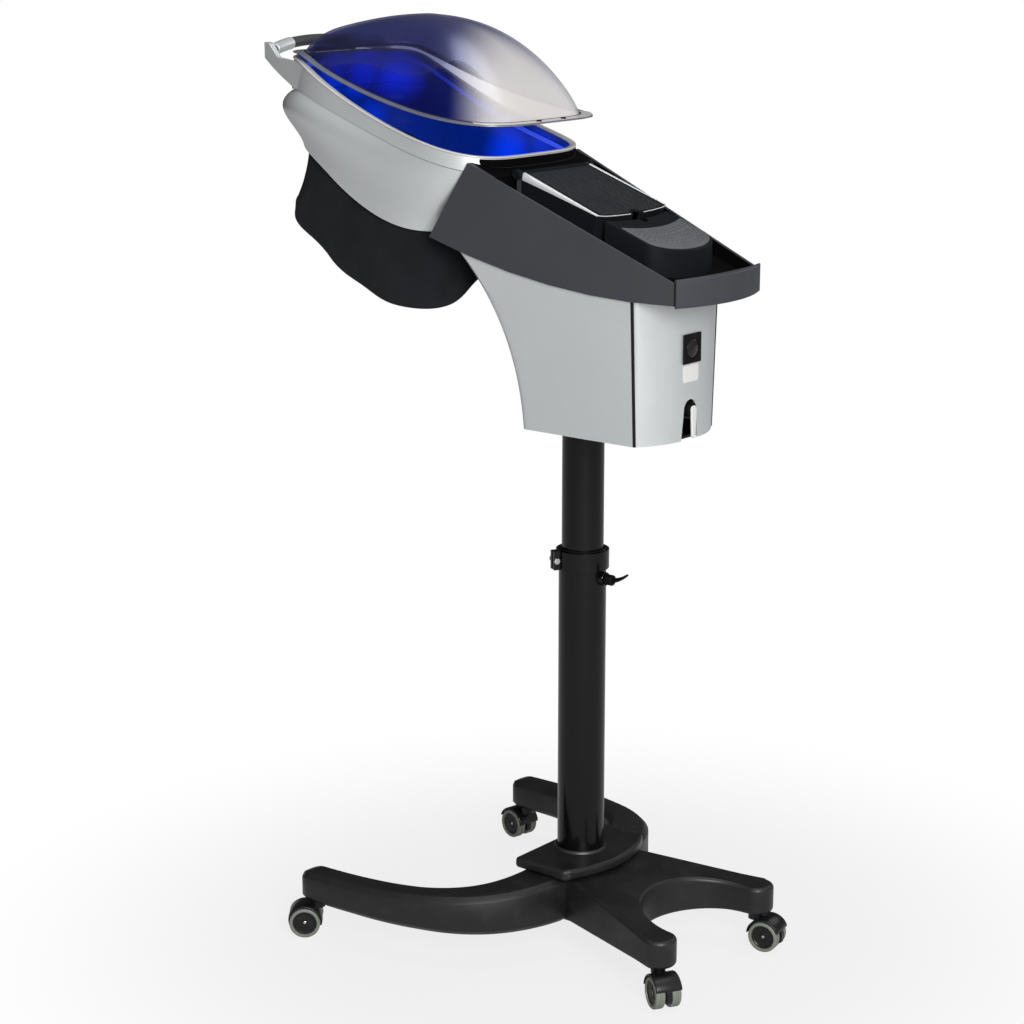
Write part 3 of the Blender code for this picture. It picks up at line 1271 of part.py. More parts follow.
def hood_band():
    """Upper band of the hood with the two handle arms and the lugs of the lid's hinge."""
    rings = [rim_ring(), hood_ring(0), hood_ring(0, HOOD_WALL), rim_ring(HOOD_WALL)]
    band = loft("hood_band", rings, "silver_plastic", wrap=True, parent=HEAD)
    for hand in (1, -1):
        rings = []
        root = HOOD_CENTRE - HOOD_HALF_LENGTH * HANDLE_ROOT
        for t in (0, 0.35, 0.7, 1):
            y = mix(root, grip_line() - HANDLE_RADIUS, t)
            x = mix(hood_half_at(root) - HOOD_WALL / 4, HANDLE_HALF, t ** 0.7)
            middle = mix(rim_height(root) - HANDLE_ROOT_DROP, HANDLE_HEIGHT, t * t)
            deep = mix(HANDLE_ROOT_DEPTH, HANDLE_ARM_DEPTH, t) / 2
            rings.append([Vector((hand * (x + a), y, middle + b)) for a, b in (
                (0, -deep), (HANDLE_ARM, -deep * 0.7), (HANDLE_ARM, deep * 0.7), (0, deep))])
        boolean(band, loft(f"handle_arm_{hand}", rings, "silver_plastic", parent=HEAD), "UNION")
    y, z = lid_hinge()
    nose = HOOD_CENTRE - HOOD_HALF_LENGTH
    low = rim_height(nose) - BAND_HEIGHT - z
    back = nose + HOOD_WALL * 0.85
    high = rim_height(back) - HOOD_WALL - z
    foot = [(-HINGE_RADIUS, low), (back - y, low), (back - y, high), (HINGE_RADIUS, high)]
    for hand in (1, -1):
        x = hand * (LID_HINGE_HALF + RUN_GAP + HINGE_LUG / 2)
        lug = eyelet(f"lid_lug_{hand}", HINGE_RADIUS, foot, "silver_plastic", parent=HEAD, at=(x, y, z))
        boolean(band, lug, "UNION")
    bore = cylinder("lid_pin_bore", HINGE_PIN + SEAT_GAP, LID_HINGE_HALF * 4, "steel", axis="X", sides=16,
                    parent=HEAD, at=(0, y, z))
    return boolean(band, bore)


def hood_shell():
    """Lower shell of the hood, drafted inwards, cut away towards the front for the face."""
    outside = [hood_ring(t, SHELL_INSET, SEAT_GAP) for t in HOOD_COURSES]
    inside = [hood_ring(t, SHELL_INSET + HOOD_WALL, SEAT_GAP) for t in reversed(HOOD_COURSES)]
    shell = loft("hood_shell", outside + inside, "silver_plastic", wrap=True, parent=HEAD)
    return boolean(shell, steam_port("shell_port", SEAT_GAP))


def hood_liner():
    """Blue inner lining, from just under the rim to just above the mouth."""
    def course(inset):
        rings = [rim_ring(inset, -SEAT_GAP)] + [hood_ring(t, inset) for t in HOOD_COURSES[:-1]]
        last = hood_ring(1, inset)
        return rings + [[Vector((p.x, p.y, p.z + LINER_LIFT)) for p in last]]
    rings = course(LINER_INSET) + list(reversed(course(LINER_INSET + LINER_WALL)))
    liner = loft("hood_liner", rings, "blue_liner", wrap=True, parent=HEAD)
    return boolean(liner, steam_port("liner_port", SEAT_GAP))


def ring_strip(name, out, inside, low, high, finish):
    """A strip that follows the rim."""
    rings = [rim_ring(out, high), rim_ring(out, low), rim_ring(inside, low), rim_ring(inside, high)]
    return loft(name, rings, finish, wrap=True, parent=HEAD)


def handle_grip():
    """Bowed grip between the handle arms."""
    half = HANDLE_HALF - SEAT_GAP
    rings = []
    for i in range(11):
        x = mix(-half, half, i / 10)
        bow = 1 - (x / half) ** 2
        y = grip_line() - HANDLE_BOW * bow
        z = HANDLE_HEIGHT + HANDLE_CROWN * bow
        rings.append([Vector((x, y + HANDLE_RADIUS * math.cos(a), z + HANDLE_RADIUS * math.sin(a)))
                      for a in (math.tau * j / 12 for j in range(12))])
    return loft("handle_grip", rings, "slate_plastic", parent=HEAD)


def lid_ring(share, lift, rise=0.0):
    """A course of the lid: plan shrunk to a share, at a height above the closed rim plus the dome's rise."""
    points = hood_plan(LID_CENTRE, LID_HALF_WIDTH, LID_HALF_LENGTH)
    shrunk = [(x * share, LID_CENTRE + (y - LID_CENTRE) * share) for x, y in points]
    return [Vector((x, y, rim_height(y) + lift + rise * (1 + LID_SKEW * (y - LID_CENTRE) / LID_HALF_LENGTH)))
            for x, y in shrunk]


def dome():
    """Clear lid: a flat flange, a full dome and a hinge barrel at the front; it stands ajar."""
    y, z = lid_hinge()
    foot = SEAT_GAP + TRIM_RING_HEIGHT + LID_GAP
    base = 1 - LID_FLANGE / LID_HALF_WIDTH
    outside, inside = [], []
    for i in range(LID_RINGS + 1):
        s = mix(LID_CROWN, 1, i / LID_RINGS)
        rise = LID_RISE * max(0, 1 - s ** LID_FULLNESS) ** LID_SHOULDER
        outside.append(lid_ring(base * s, foot + LID_WALL, rise))
        inside.append(lid_ring((base - LID_WALL / LID_HALF_WIDTH) * s, foot, rise))
    rings = outside + [lid_ring(1, foot + LID_WALL), lid_ring(1, foot)] + list(reversed(inside))
    lid = loft("dome", rings, "smoky_clear", parent=LID, at=(0, -y, -z))
    length = 2 * LID_HINGE_HALF
    barrel = cylinder("lid_barrel", HINGE_RADIUS, length, "smoky_clear", axis="X", sides=16, parent=LID)
    boolean(lid, barrel, "UNION")
    reach = LID_HINGE_FORWARD + LID_FLANGE / 2
    tilt = rim_tilt(y, y + reach)
    leaf = block("lid_leaf", (length, reach / math.cos(tilt), LID_WALL), "smoky_clear", parent=LID,
                 at=(0, reach / 2, reach / 2 * math.tan(tilt)), turn=(tilt, 0, 0))
    boolean(lid, leaf, "UNION")
    bore = cylinder("lid_barrel_bore", HINGE_PIN + SEAT_GAP, length * 2, "steel", axis="X", sides=16, parent=LID)
    return boolean(lid, bore)


def neck_curtain():
    """Cloth curtain that hangs from the mouth round the sides and back, open for the face."""
    inset = CURTAIN_INSET
    sections = []
    for i in range(CURTAIN_POINTS + 1):
        along = i / CURTAIN_POINTS
        a = mix(CURTAIN_FRONT_GAP, math.tau - CURTAIN_FRONT_GAP, along) - math.pi / 2
        c, s = math.cos(a), math.sin(a)
        reach = (abs(c) ** HOOD_SQUARE + abs(s) ** HOOD_SQUARE) ** (-1 / HOOD_SQUARE)
        end = min(along, 1 - along) / CURTAIN_CORNER
        drop = CURTAIN_DROP * (1 if end > 1 else 0.78 + 0.22 * math.sqrt(1 - (1 - end) ** 2))
        drop -= CURTAIN_REAR_RISE * max(0, s) ** 2
        wave = math.sin(math.tau * CURTAIN_FOLDS * along)
        section = []
        for wall, rows in ((0, range(CURTAIN_ROWS)), (CURTAIN_WALL, reversed(range(CURTAIN_ROWS)))):
            for row in rows:
                t = row / (CURTAIN_ROWS - 1)
                fold = CURTAIN_FOLD_DEPTH * t * (1 - wave)
                depth = inset + wall + fold - CURTAIN_FLARE * t * t
                x = (MOUTH_HALF_WIDTH - depth) * c * reach
                y = MOUTH_CENTRE + (MOUTH_HALF_LENGTH - depth) * s * reach
                top = mouth_height(y) + CURTAIN_TUCK
                section.append(Vector((x, y, top - t * (drop + CURTAIN_TUCK))))
        sections.append(section)
    return loft("neck_curtain", sections, "curtain_black", parent=HEAD)


def housing():
    housing_shell()
    rear_panel()
    floor_plate()
    column_socket()
    cable_gland()
    cowl()
    rear_grip()


def controls():
    water_tank()
    tank_cover()
    cover_trim()
    y, z = hinge_place()
    cylinder("cover_hinge_pin", HINGE_PIN, 2 * COVER_HALF, "steel", axis="X", sides=16, parent=HEAD, at=(0, y, z))
    control_plinth()
    keypad()
    control_board()
    switch()
    drain_tap()
    steam_path()


def hood():
    hood_band()
    hood_shell()
    hood_liner()
    ring_strip("rim_trim", -TRIM_RING_OUT, TRIM_RING_IN, SEAT_GAP, SEAT_GAP + TRIM_RING_HEIGHT, "silver_plastic")
    inside = LINER_INSET + LINER_WALL + SEAT_GAP
    ring_strip("light_strip", inside, inside + LIGHT_WIDTH, -LIGHT_DROP - LIGHT_HEIGHT, -LIGHT_DROP, "white_plastic")
    handle_grip()
    dome()
    y, z = lid_hinge()
    length = 2 * (LID_HINGE_HALF + RUN_GAP + HINGE_LUG)
    cylinder("dome_hinge_pin", HINGE_PIN, length, "steel", axis="X", sides=16, parent=HEAD, at=(0, y, z))
    neck_curtain()


FRAME = empty("base_frame", (0, 0, 0))
MAST = empty("mast", (0, 0, 0), FRAME)
HEAD = empty("head", (0, 0, HEAD_HEIGHT), MAST)
COVER = empty("cover_axis", (0, *hinge_place()), HEAD)
LID = empty("lid_axis", (0, *lid_hinge()), HEAD, (LID_AJAR, 0, 0))

castors()
base()
column()
housing()
controls()
hood()
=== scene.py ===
"""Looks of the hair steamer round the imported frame: finer surfaces, finishes, cloth, light and camera."""
import json
import logging
import math
from dataclasses import dataclass
from enum import Enum
from typing import Callable, Optional, Sequence, Union

import bmesh
import bpy
from mathutils import Matrix, Vector, noise


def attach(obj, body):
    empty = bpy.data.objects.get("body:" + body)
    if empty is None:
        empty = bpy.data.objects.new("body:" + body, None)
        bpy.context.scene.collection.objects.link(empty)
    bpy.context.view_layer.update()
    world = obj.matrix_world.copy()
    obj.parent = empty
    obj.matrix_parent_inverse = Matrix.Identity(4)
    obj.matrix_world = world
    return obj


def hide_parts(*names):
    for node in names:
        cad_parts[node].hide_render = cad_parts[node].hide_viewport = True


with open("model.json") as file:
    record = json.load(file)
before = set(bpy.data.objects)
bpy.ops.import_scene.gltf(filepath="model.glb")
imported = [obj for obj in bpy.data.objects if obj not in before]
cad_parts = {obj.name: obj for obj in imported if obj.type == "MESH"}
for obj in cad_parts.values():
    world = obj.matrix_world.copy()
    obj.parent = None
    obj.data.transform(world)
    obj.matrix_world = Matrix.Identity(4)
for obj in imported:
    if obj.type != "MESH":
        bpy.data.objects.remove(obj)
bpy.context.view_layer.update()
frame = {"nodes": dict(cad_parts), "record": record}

LOG = logging.getLogger("hair_steamer")
HEAD_HEIGHT = 0.850
HEAD = Matrix.Translation((0, 0, HEAD_HEIGHT))
SEAT = 0.0003
WELD = 0.000004
COPY_WELD = 0.00002
COPY_FLAT = math.radians(0.6)
COWL_HALF = 0.128
COWL_TAPER = 0.080
COWL_FOOT = 0.2185
COWL_BEND = 0.45
COWL_LOWEST = 0.200
MOTTLE_SCALE = 7.0
PATCH_SCALE = 16.0
DUST_SCALE = 38.0
DUST_GREY = (0.30, 0.30, 0.29)

Plan = list[tuple[float, float]]
Ring = list[Vector]
Colour = tuple[float, float, float]
Setting = Union["Value", float, Sequence[float]]


class Hand(Enum):
    """The object's own left and right, as the sign of X."""

    LEFT = 1
    RIGHT = -1

    @property
    def word(self) -> str:
        """Lower-case name used in piece names."""
        return self.name.lower()


class Corner(Enum):
    """The four castors: swivel axis and the angle that each one stands at."""

    FRONT_LEFT = (0.272, -0.328, 39.0)
    FRONT_RIGHT = (-0.272, -0.328, -10.0)
    REAR_LEFT = (0.134, 0.252, 148.0)
    REAR_RIGHT = (-0.134, 0.252, 190.0)

    @property
    def word(self) -> str:
        """Lower-case name used in piece and body names."""
        return self.name.lower()

    @property
    def place(self) -> Matrix:
        """Frame of the castor: origin on the floor under its swivel."""
        x, y, turn = self.value
        return Matrix.Translation((x, y, 0)) @ Matrix.Rotation(math.radians(turn), 4, "Z")


# Shader expressions

class Value:
    """A shader socket that can stand in arithmetic; each operation adds a Math node."""

    def __init__(self, graph: "Graph", socket: Optional[bpy.types.NodeSocket]) -> None:
        """Keep the socket with the graph that it belongs to."""
        self.graph = graph
        self.socket = socket

    def _math(self, operation: str, first: Setting, second: Setting = 0.0) -> "Value":
        """Add one Math node.

        Args:
            operation: Blender's name of the operation.
            first: left operand.
            second: right operand.

        Returns:
            The node's result.
        """
        return self.graph.node("ShaderNodeMath", {"operation": operation}, {0: first, 1: second})

    def __add__(self, other: Setting) -> "Value":
        """Sum."""
        return self._math("ADD", self, other)

    __radd__ = __add__

    def __sub__(self, other: Setting) -> "Value":
        """Difference."""
        return self._math("SUBTRACT", self, other)

    def __rsub__(self, other: Setting) -> "Value":
        """Reflected difference."""
        return self._math("SUBTRACT", other, self)

    def __mul__(self, other: Setting) -> "Value":
        """Product."""
        return self._math("MULTIPLY", self, other)

    __rmul__ = __mul__

    def __pow__(self, other: Setting) -> "Value":
        """Power."""
        return self._math("POWER", self, other)

    def __abs__(self) -> "Value":
        """Magnitude."""
        return self._math("ABSOLUTE", self)

    def high(self, other: Setting) -> "Value":
        """The larger of two values."""
        return self._math("MAXIMUM", self, other)

    def wave(self) -> "Value":
        """Sine of a value in radians."""
        return self._math("SINE", self)

    def smooth(self, start: float, stop: float, low: float = 0.0, high: float = 1.0) -> "Value":
        """Ease from low to high while the value runs from start to stop."""
        return self.graph.node("ShaderNodeMapRange", {"interpolation_type": "SMOOTHSTEP"},
                               {0: self, 1: start, 2: stop, 3: low, 4: high})

    def tint(self, low: Union["Value", Colour], high: Union["Value", Colour]) -> "Value":
        """Mix two colours by this value."""
        ends = [c if isinstance(c, Value) else (*c, 1.0) for c in (low, high)]
        return self.graph.node("ShaderNodeMix", {"data_type": "RGBA"}, {0: self, 6: ends[0], 7: ends[1]}, 2)


class Graph:
    """Node graph of one material or world."""

    def __init__(self, owner: Union[bpy.types.Material, bpy.types.World]) -> None:
        """Start from an empty tree."""
        owner.use_nodes = True
        self.tree = owner.node_tree
        self.tree.nodes.clear()

    def node(self, kind: str, settings: Optional[dict] = None, inputs: Optional[dict] = None,
             output: Union[int, str] = 0) -> Value:
        """Add any node.

        Args:
            kind: Blender's type name.
            settings: properties, set before the sockets.
            inputs: values or links by socket name or number.
            output: which result to hand back.

        Returns:
            The chosen output, empty for a node that has none.
        """
        made = self.tree.nodes.new(kind)
        for key, value in (settings or {}).items():
            setattr(made, key, value)
        for key, value in (inputs or {}).items():
            if isinstance(value, Value):
                self.tree.links.new(value.socket, made.inputs[key])
            else:
                made.inputs[key].default_value = value
        return Value(self, made.outputs[output] if len(made.outputs) else None)

    def place(self) -> Value:
        """Place on the object, in metres at rest."""
        return self.node("ShaderNodeTexCoord", output="Object")

    def axes(self) -> list[Value]:
        """The three numbers of the place."""
        split = self.node("ShaderNodeSeparateXYZ", inputs={0: self.place()})
        return [Value(self, socket) for socket in split.socket.node.outputs]

    def grain(self, scale: float, detail: float = 3.0, stretch: Sequence[float] = (1, 1, 1)) -> Value:
        """Noise of a given scale, stretched along the axes."""
        where = self.node("ShaderNodeMapping", inputs={"Vector": self.place(), "Scale": stretch})
        return self.node("ShaderNodeTexNoise", inputs={"Vector": where, "Scale": scale, "Detail": detail})

    def relief(self, height: Value, depth: float) -> Value:
        """Normal of a height map whose relief is some metres deep."""
        return self.node("ShaderNodeBump", inputs={"Height": height, "Distance": depth, "Strength": 1.0})

    def blend(self, share: Value, first: Value, second: Value) -> Value:
        """Mix two shaders."""
        return self.node("ShaderNodeMixShader", inputs={0: share, 1: first, 2: second})

    def output(self, surface: Value, kind: str = "ShaderNodeOutputMaterial") -> None:
        """Connect the finished shader."""
        self.node(kind, inputs={"Surface": surface})


# Finishes

def scaled(colour: Colour, factor: float) -> Colour:
    """A colour made darker or lighter."""
    return tuple(min(1.0, c * factor) for c in colour)


@dataclass(frozen=True)
class Finish:
    """A moulded or painted surface: colour with a soft mottle, fine grain and uneven gloss."""

    name: str
    slot: str
    colour: Colour
    rough: float = 0.45
    metal: float = 0.0
    coat: float = 0.0
    specular: float = 0.5
    mottle: float = 0.10
    grain_scale: float = 900.0
    grain_depth: float = 0.00006
    uneven: float = 0.08
    dust: float = 0.0
    stretch: tuple[float, float, float] = (1.0, 1.0, 1.0)

    def colours(self, graph: Graph) -> Value:
        """Colour over the surface: a broad mottle, fine specks and a trace of dust.

        Args:
            graph: graph of the material.

        Returns:
            The colour.
        """
        broad = graph.grain(MOTTLE_SCALE, 4.0).smooth(0.3, 0.7)
        fine = graph.grain(self.grain_scale, 2.0, self.stretch).smooth(0.25, 0.75)
        share = broad * 0.5 + fine * 0.5
        colour = share.tint(scaled(self.colour, 1 - self.mottle), scaled(self.colour, 1 + self.mottle))
        if self.dust:
            spread = graph.grain(DUST_SCALE, 6.0).smooth(0.52, 0.80) * self.dust
            colour = spread.tint(colour, DUST_GREY)
        return colour

    def sockets(self, graph: Graph) -> dict[str, Setting]:
        """Everything that the shader is fed with.

        Args:
            graph: graph of the material.

        Returns:
            Values by socket name.
        """
        patches = graph.grain(PATCH_SCALE, 5.0)
        grain = graph.grain(self.grain_scale, 3.0, self.stretch)
        return {"Base Color": self.colours(graph), "Metallic": self.metal, "Coat Weight": self.coat,
                "Specular IOR Level": self.specular,
                "Roughness": patches.smooth(0.3, 0.7, self.rough - self.uneven, self.rough + self.uneven),
                "Normal": graph.relief(grain, self.grain_depth)}

    def shader(self, graph: Graph) -> Value:
        """The finished shader."""
        return graph.node("ShaderNodeBsdfPrincipled", inputs=self.sockets(graph))

    def material(self) -> bpy.types.Material:
        """The material of this finish, made on first use.

        Returns:
            The material.
        """
        found = bpy.data.materials.get(self.name)
        if found:
            return found
        made = bpy.data.materials.new(self.name)
        made.diffuse_color = (*self.colour, 1.0)
        graph = Graph(made)
        graph.output(self.shader(graph))
        return made


@dataclass(frozen=True)
class Flake(Finish):
    """Metallic silver paint: bright flakes in a satin lacquer with a faint orange peel."""

    flake_scale: float = 1400.0
    flake_share: float = 0.55

    def colours(self, graph: Graph) -> Value:
        """Silver with single bright and dark flakes.

        Args:
            graph: graph of the material.

        Returns:
            The colour.
        """
        where = {"Vector": graph.place(), "Scale": self.flake_scale}
        flakes = graph.node("ShaderNodeTexVoronoi", inputs=where, output="Color")
        speck = graph.node("ShaderNodeSeparateXYZ", inputs={0: flakes})
        broad = graph.grain(5.0, 3.0).smooth(0.3, 0.7)
        share = speck * self.flake_share + broad * (1 - self.flake_share)
        return share.tint(scaled(self.colour, 1 - self.mottle), scaled(self.colour, 1 + self.mottle))


@dataclass(frozen=True)
class Lining(Finish):
    """Glossy blue surface with an emission glow: on the lining this is painted light, pools painted where the
    lamps' light falls on it over a darker glow; on the lamp cover it is the lamp's own light.
    """

    glow: Colour = (0.0, 0.022, 0.85)
    shade: Colour = (0.0, 0.004, 0.075)
    strength: float = 1.0
    ground: float = 0.12
    painted_light_pools: tuple[tuple[float, float, float, float, float], ...] = ()

    def sockets(self, graph: Graph) -> dict[str, Setting]:
        """Add the glow: painted pools of light given as place, reach and level, on a faint uneven glow that
        is painted light too where the surface is no lamp.

        Args:
            graph: graph of the material.

        Returns:
            Values by socket name.
        """
        fed = super().sockets(graph)
        light = graph.grain(9.0, 2.0) * self.ground
        # painted light: each pool is an emission spot standing in for lamp light falling on the surface
        for *spot, reach, level in self.painted_light_pools:
            ends = {0: graph.place(), 1: spot}
            far = graph.node("ShaderNodeVectorMath", {"operation": "DISTANCE"}, ends, "Value")
            light = light.high(far.smooth(0.0, reach, level, 0.0))
        fed["Emission Color"] = light.tint(self.shade, self.glow)
        fed["Emission Strength"] = self.strength
        return fed


@dataclass(frozen=True)
class ClearLid(Finish):
    """Clear plastic, smoky at the front and clearing towards the rear, with a painted sheen at the rear: a
    pale lit layer that stands in for the reflection of the bright surroundings; both gather where the wall is
    seen edge on.
    """

    pale: Colour = (0.98, 0.98, 0.98)
    smoke: Colour = (0.42, 0.44, 0.62)
    graded: tuple[float, float] = (-0.30, -0.14)
    slant: float = 0.70
    edge: float = 0.75
    # painted sheen: pale colour mixed in towards the rear in place of the reflection of the bright
    # surroundings
    painted_sheen: Colour = (0.70, 0.675, 0.655)
    painted_sheen_span: tuple[float, float] = (-0.255, -0.130)
    painted_sheen_share: float = 0.66
    drift: float = 0.02
    falloff: float = 4.0
    clearing: float = 0.75
    index: float = 1.45
    gloss: Colour = (0.80, 0.81, 0.86)
    gloss_share: float = 0.35
    soft: float = 0.30

    def shader(self, graph: Graph) -> Value:
        """See-through wall whose smoke turns into a painted sheen towards the rear, a pale lit layer that
        stands in for a reflection, with a gloss and a darker outline.

        Args:
            graph: graph of the material.

        Returns:
            The shader.
        """
        facing = graph.node("ShaderNodeLayerWeight", inputs={"Blend": 0.5}, output="Facing")
        glance = graph.node("ShaderNodeFresnel", inputs={"IOR": self.index})
        x, y, _ = graph.axes()
        along = y - abs(x) * self.slant
        grade = (along + graph.grain(6.0, 2.0) * self.drift).smooth(*self.graded)
        skin = graph.node("ShaderNodeBsdfPrincipled", inputs=self.sockets(graph))
        smoke, clear = (graph.node("ShaderNodeBsdfTransparent", inputs={"Color": (*c, 1.0)})
                        for c in (self.smoke, self.pale))
        shine, painted_sheen = (graph.node("ShaderNodeBsdfPrincipled", inputs={
            "Base Color": (*c, 1.0), "Metallic": metal, "Roughness": self.soft})
            for c, metal in ((self.gloss, 1.0), (self.painted_sheen, 0.0)))
        wall = graph.blend(grade, smoke, clear)
        # painted reflection: a pale diffuse layer towards the rear stands in for the sheen of the bright
        # surroundings
        wall = graph.blend(along.smooth(*self.painted_sheen_span, 0.0, self.painted_sheen_share), wall, painted_sheen)
        wall = graph.blend(facing ** self.falloff * self.edge * (1.0 - grade * self.clearing), wall, skin)
        return graph.blend(glance * self.gloss_share, wall, shine)


@dataclass(frozen=True)
class Weave(Finish):
    """Dark woven cloth with a visible thread pattern and a soft nap."""

    thread: float = 0.0011

    def sockets(self, graph: Graph) -> dict[str, Setting]:
        """Thread relief, paler crests and broad paler and darker patches.

        Args:
            graph: graph of the material.

        Returns:
            Values by socket name.
        """
        fed = super().sockets(graph)
        x, y, z = graph.axes()
        pitch = math.tau / self.thread
        warp = ((x + y) * pitch * 0.7).wave()
        weft = (z * pitch).wave()
        cloth = (warp * weft) * 0.5 + 0.5
        fuzz = graph.grain(420.0, 4.0)
        shade = cloth * 0.35 + fuzz * 0.35 + graph.grain(11.0, 4.0).smooth(0.3, 0.75) * 0.5
        fed["Base Color"] = shade.tint(scaled(self.colour, 0.55), scaled(self.colour, 1.7))
        fed["Normal"] = graph.relief(cloth + fuzz * 0.6, self.grain_depth)
        fed["Sheen Weight"] = 0.06
        fed["Sheen Roughness"] = 0.5
        return fed


@dataclass(frozen=True)
class Brushed(Finish):
    """Bright metal with fine lines from turning or polishing."""

    def sockets(self, graph: Graph) -> dict[str, Setting]:
        """Stretch the grain into lines.

        Args:
            graph: graph of the material.

        Returns:
            Values by socket name.
        """
        fed = super().sockets(graph)
        lines = graph.grain(260.0, 3.0, (1.0, 1.0, 14.0))
        fed["Roughness"] = lines.smooth(0.3, 0.7, self.rough - self.uneven, self.rough + self.uneven)
        return fed


SILVER = Flake("satin_silver", "silver_plastic", (0.69, 0.715, 0.720), 0.36, metal=0.50, coat=0.05,
               specular=0.4, mottle=0.05, grain_scale=520.0, grain_depth=0.00003, uneven=0.04)
BRIGHT = Brushed("bright_strip", "silver_plastic", (0.72, 0.73, 0.74), 0.34, metal=0.35, mottle=0.03,
                 uneven=0.03, grain_depth=0.000005)
RIM = Flake("rim_silver", "silver_plastic", (0.72, 0.70, 0.68), 0.36, metal=0.10, mottle=0.04, uneven=0.04)
SLATE = Finish("slate_moulding", "slate_plastic", (0.050, 0.053, 0.061), 0.50, specular=0.25, mottle=0.07,
               grain_scale=1300.0, grain_depth=0.00005)
BLACK = Finish("black_moulding", "black_plastic", (0.0040, 0.0042, 0.0047), 0.50, specular=0.09, mottle=0.12,
               dust=0.02)
# Near-black finish that paints shade: films in the cowl's well and round the neck of the hood
PAINTED_SHADE = Finish("black_well", "black_plastic", (0.0022, 0.0022, 0.0025), 0.70, specular=0.03, mottle=0.20)
COVER = Finish("cover_black", "black_plastic", (0.0085, 0.0092, 0.0110), 0.55, specular=0.04, mottle=0.10)
DOT = Finish("cover_dot", "black_plastic", (0.032, 0.034, 0.038), 0.42, specular=0.25, mottle=0.15)
CASTING = Finish("textured_casting", "base_black", (0.0100, 0.0104, 0.0102), 0.42, specular=0.42, mottle=0.20,
                 grain_scale=760.0, grain_depth=0.00020, uneven=0.10, dust=0.03)
TUBE = Finish("tube_paint", "tube_black", (0.0024, 0.0025, 0.0027), 0.20, coat=0.15, specular=0.20,
              mottle=0.10, grain_scale=300.0, grain_depth=0.00002, uneven=0.05, stretch=(1.0, 1.0, 0.15))
CASTOR = Finish("castor_moulding", "castor_black", (0.0075, 0.0075, 0.008), 0.30, specular=0.35, dust=0.05)
TYRE = Finish("grey_tread", "tyre_grey", (0.21, 0.225, 0.185), 0.46, mottle=0.14, grain_scale=420.0,
              grain_depth=0.00010, dust=0.18)
STEEL = Brushed("bright_steel", "steel", (0.60, 0.60, 0.61), 0.26, metal=1.0, mottle=0.06, uneven=0.07)
DULL = Brushed("dull_ring", "steel", (0.050, 0.050, 0.053), 0.42, metal=0.7, mottle=0.08, uneven=0.06)
FILM = Finish("keypad_film", "keypad_grey", (0.090, 0.094, 0.101), 0.55, specular=0.25, mottle=0.06,
              grain_scale=1600.0)
MARK = Finish("keypad_mark", "keypad_grey", (0.046, 0.047, 0.052), 0.60, specular=0.2)
PALE_MARK = Finish("keypad_pale_mark", "keypad_grey", (0.30, 0.31, 0.33), 0.5, specular=0.3)
WHITE = Finish("white_moulding", "white_plastic", (0.78, 0.78, 0.76), 0.38, mottle=0.04, dust=0.05)
LABEL = Finish("blank_label", "white_plastic", (0.80, 0.80, 0.79), 0.55, mottle=0.03)
# Lining with painted light: emission pools where the lamps' light falls, and a faint painted glow over the
# rest
LINER = Lining("lining_painted_glow", "blue_liner", (0.001, 0.005, 0.055), 0.34, coat=0.1, specular=0.2, mottle=0.10,
               glow=(0.0, 0.036, 0.88), shade=(0.0, 0.004, 0.040), strength=1.7, painted_light_pools=(
                   (-0.118, -0.482, 1.352, 0.066, 1.0), (-0.060, -0.500, 1.366, 0.070, 0.75),
                   (0.005, -0.503, 1.374, 0.060, 0.45), (-0.151, -0.270, 1.239, 0.075, 0.50),
                   (-0.148, -0.200, 1.248, 0.060, 0.30), (-0.087, -0.505, 1.293, 0.042, 0.24),
                   (0.015, -0.510, 1.335, 0.060, 0.28)))
LAMP = Lining("lamp_cover", "white_plastic", (0.10, 0.14, 0.50), 0.40, glow=(0.01, 0.05, 0.85),
              shade=(0.0, 0.01, 0.30), strength=0.8, ground=1.2)
LID = ClearLid("smoked_clear", "smoky_clear", (0.20, 0.21, 0.34), 0.14, specular=0.5, mottle=0.04,
               grain_scale=60.0, grain_depth=0.00002, uneven=0.04)
EDGE = Finish("lid_edge", "smoky_clear", (0.17, 0.18, 0.24), 0.30, metal=0.2, specular=0.4, mottle=0.05)
TAIL = Flake("lid_tail", "silver_plastic", (0.60, 0.58, 0.57), 0.34, metal=0.15, mottle=0.05, uneven=0.04)
SEAL = Finish("dark_seal", "black_plastic", (0.010, 0.010, 0.012), 0.55, specular=0.2)
CLOTH = Weave("curtain_weave", "curtain_black", (0.0105, 0.0112, 0.0130), 0.95, specular=0.08,
              grain_depth=0.0004)
BOARD = Finish("board_green", "board_green", (0.02, 0.12, 0.05), 0.55)


# Mesh making

def mix(a: float, b: float, t: float) -> float:
    """Value between two others."""
    return a + (b - a) * t


def ramp(value: float, start: float, stop: float) -> float:
    """Share of the way from start to stop, held at both ends."""
    return min(1.0, max(0.0, (value - start) / (stop - start)))


def arc(x: float, y: float, radius: float, start: float, stop: float, count: int) -> Plan:
    """Points along an arc, both ends included, in degrees."""
    turns = [math.radians(start + (stop - start) * i / count) for i in range(count + 1)]
    return [(x + radius * math.cos(t), y + radius * math.sin(t)) for t in turns]


def turns(count: int) -> list[float]:
    """Angles of equal steps round a circle."""
    return [math.tau * i / count for i in range(count)]


def squircle(c: float, s: float, power: float) -> float:
    """Reach of a rounded square in the direction of a cosine and a sine."""
    return (abs(c) ** power + abs(s) ** power) ** (-1 / power)


def shares(count: int) -> list[float]:
    """Equal steps from 0 to 1, both ends included."""
    return [i / count for i in range(count + 1)]


def bezier(points: Sequence[Sequence[float]], t: float) -> Vector:
    """A point on a cubic curve.

    Args:
        points: its four control points.
        t: share of the way along it.

    Returns:
        The point.
    """
    a, b, c, d = (Vector(p) for p in points)
    s = 1 - t
    return a * s ** 3 + b * 3 * s * s * t + c * 3 * s * t * t + d * t ** 3


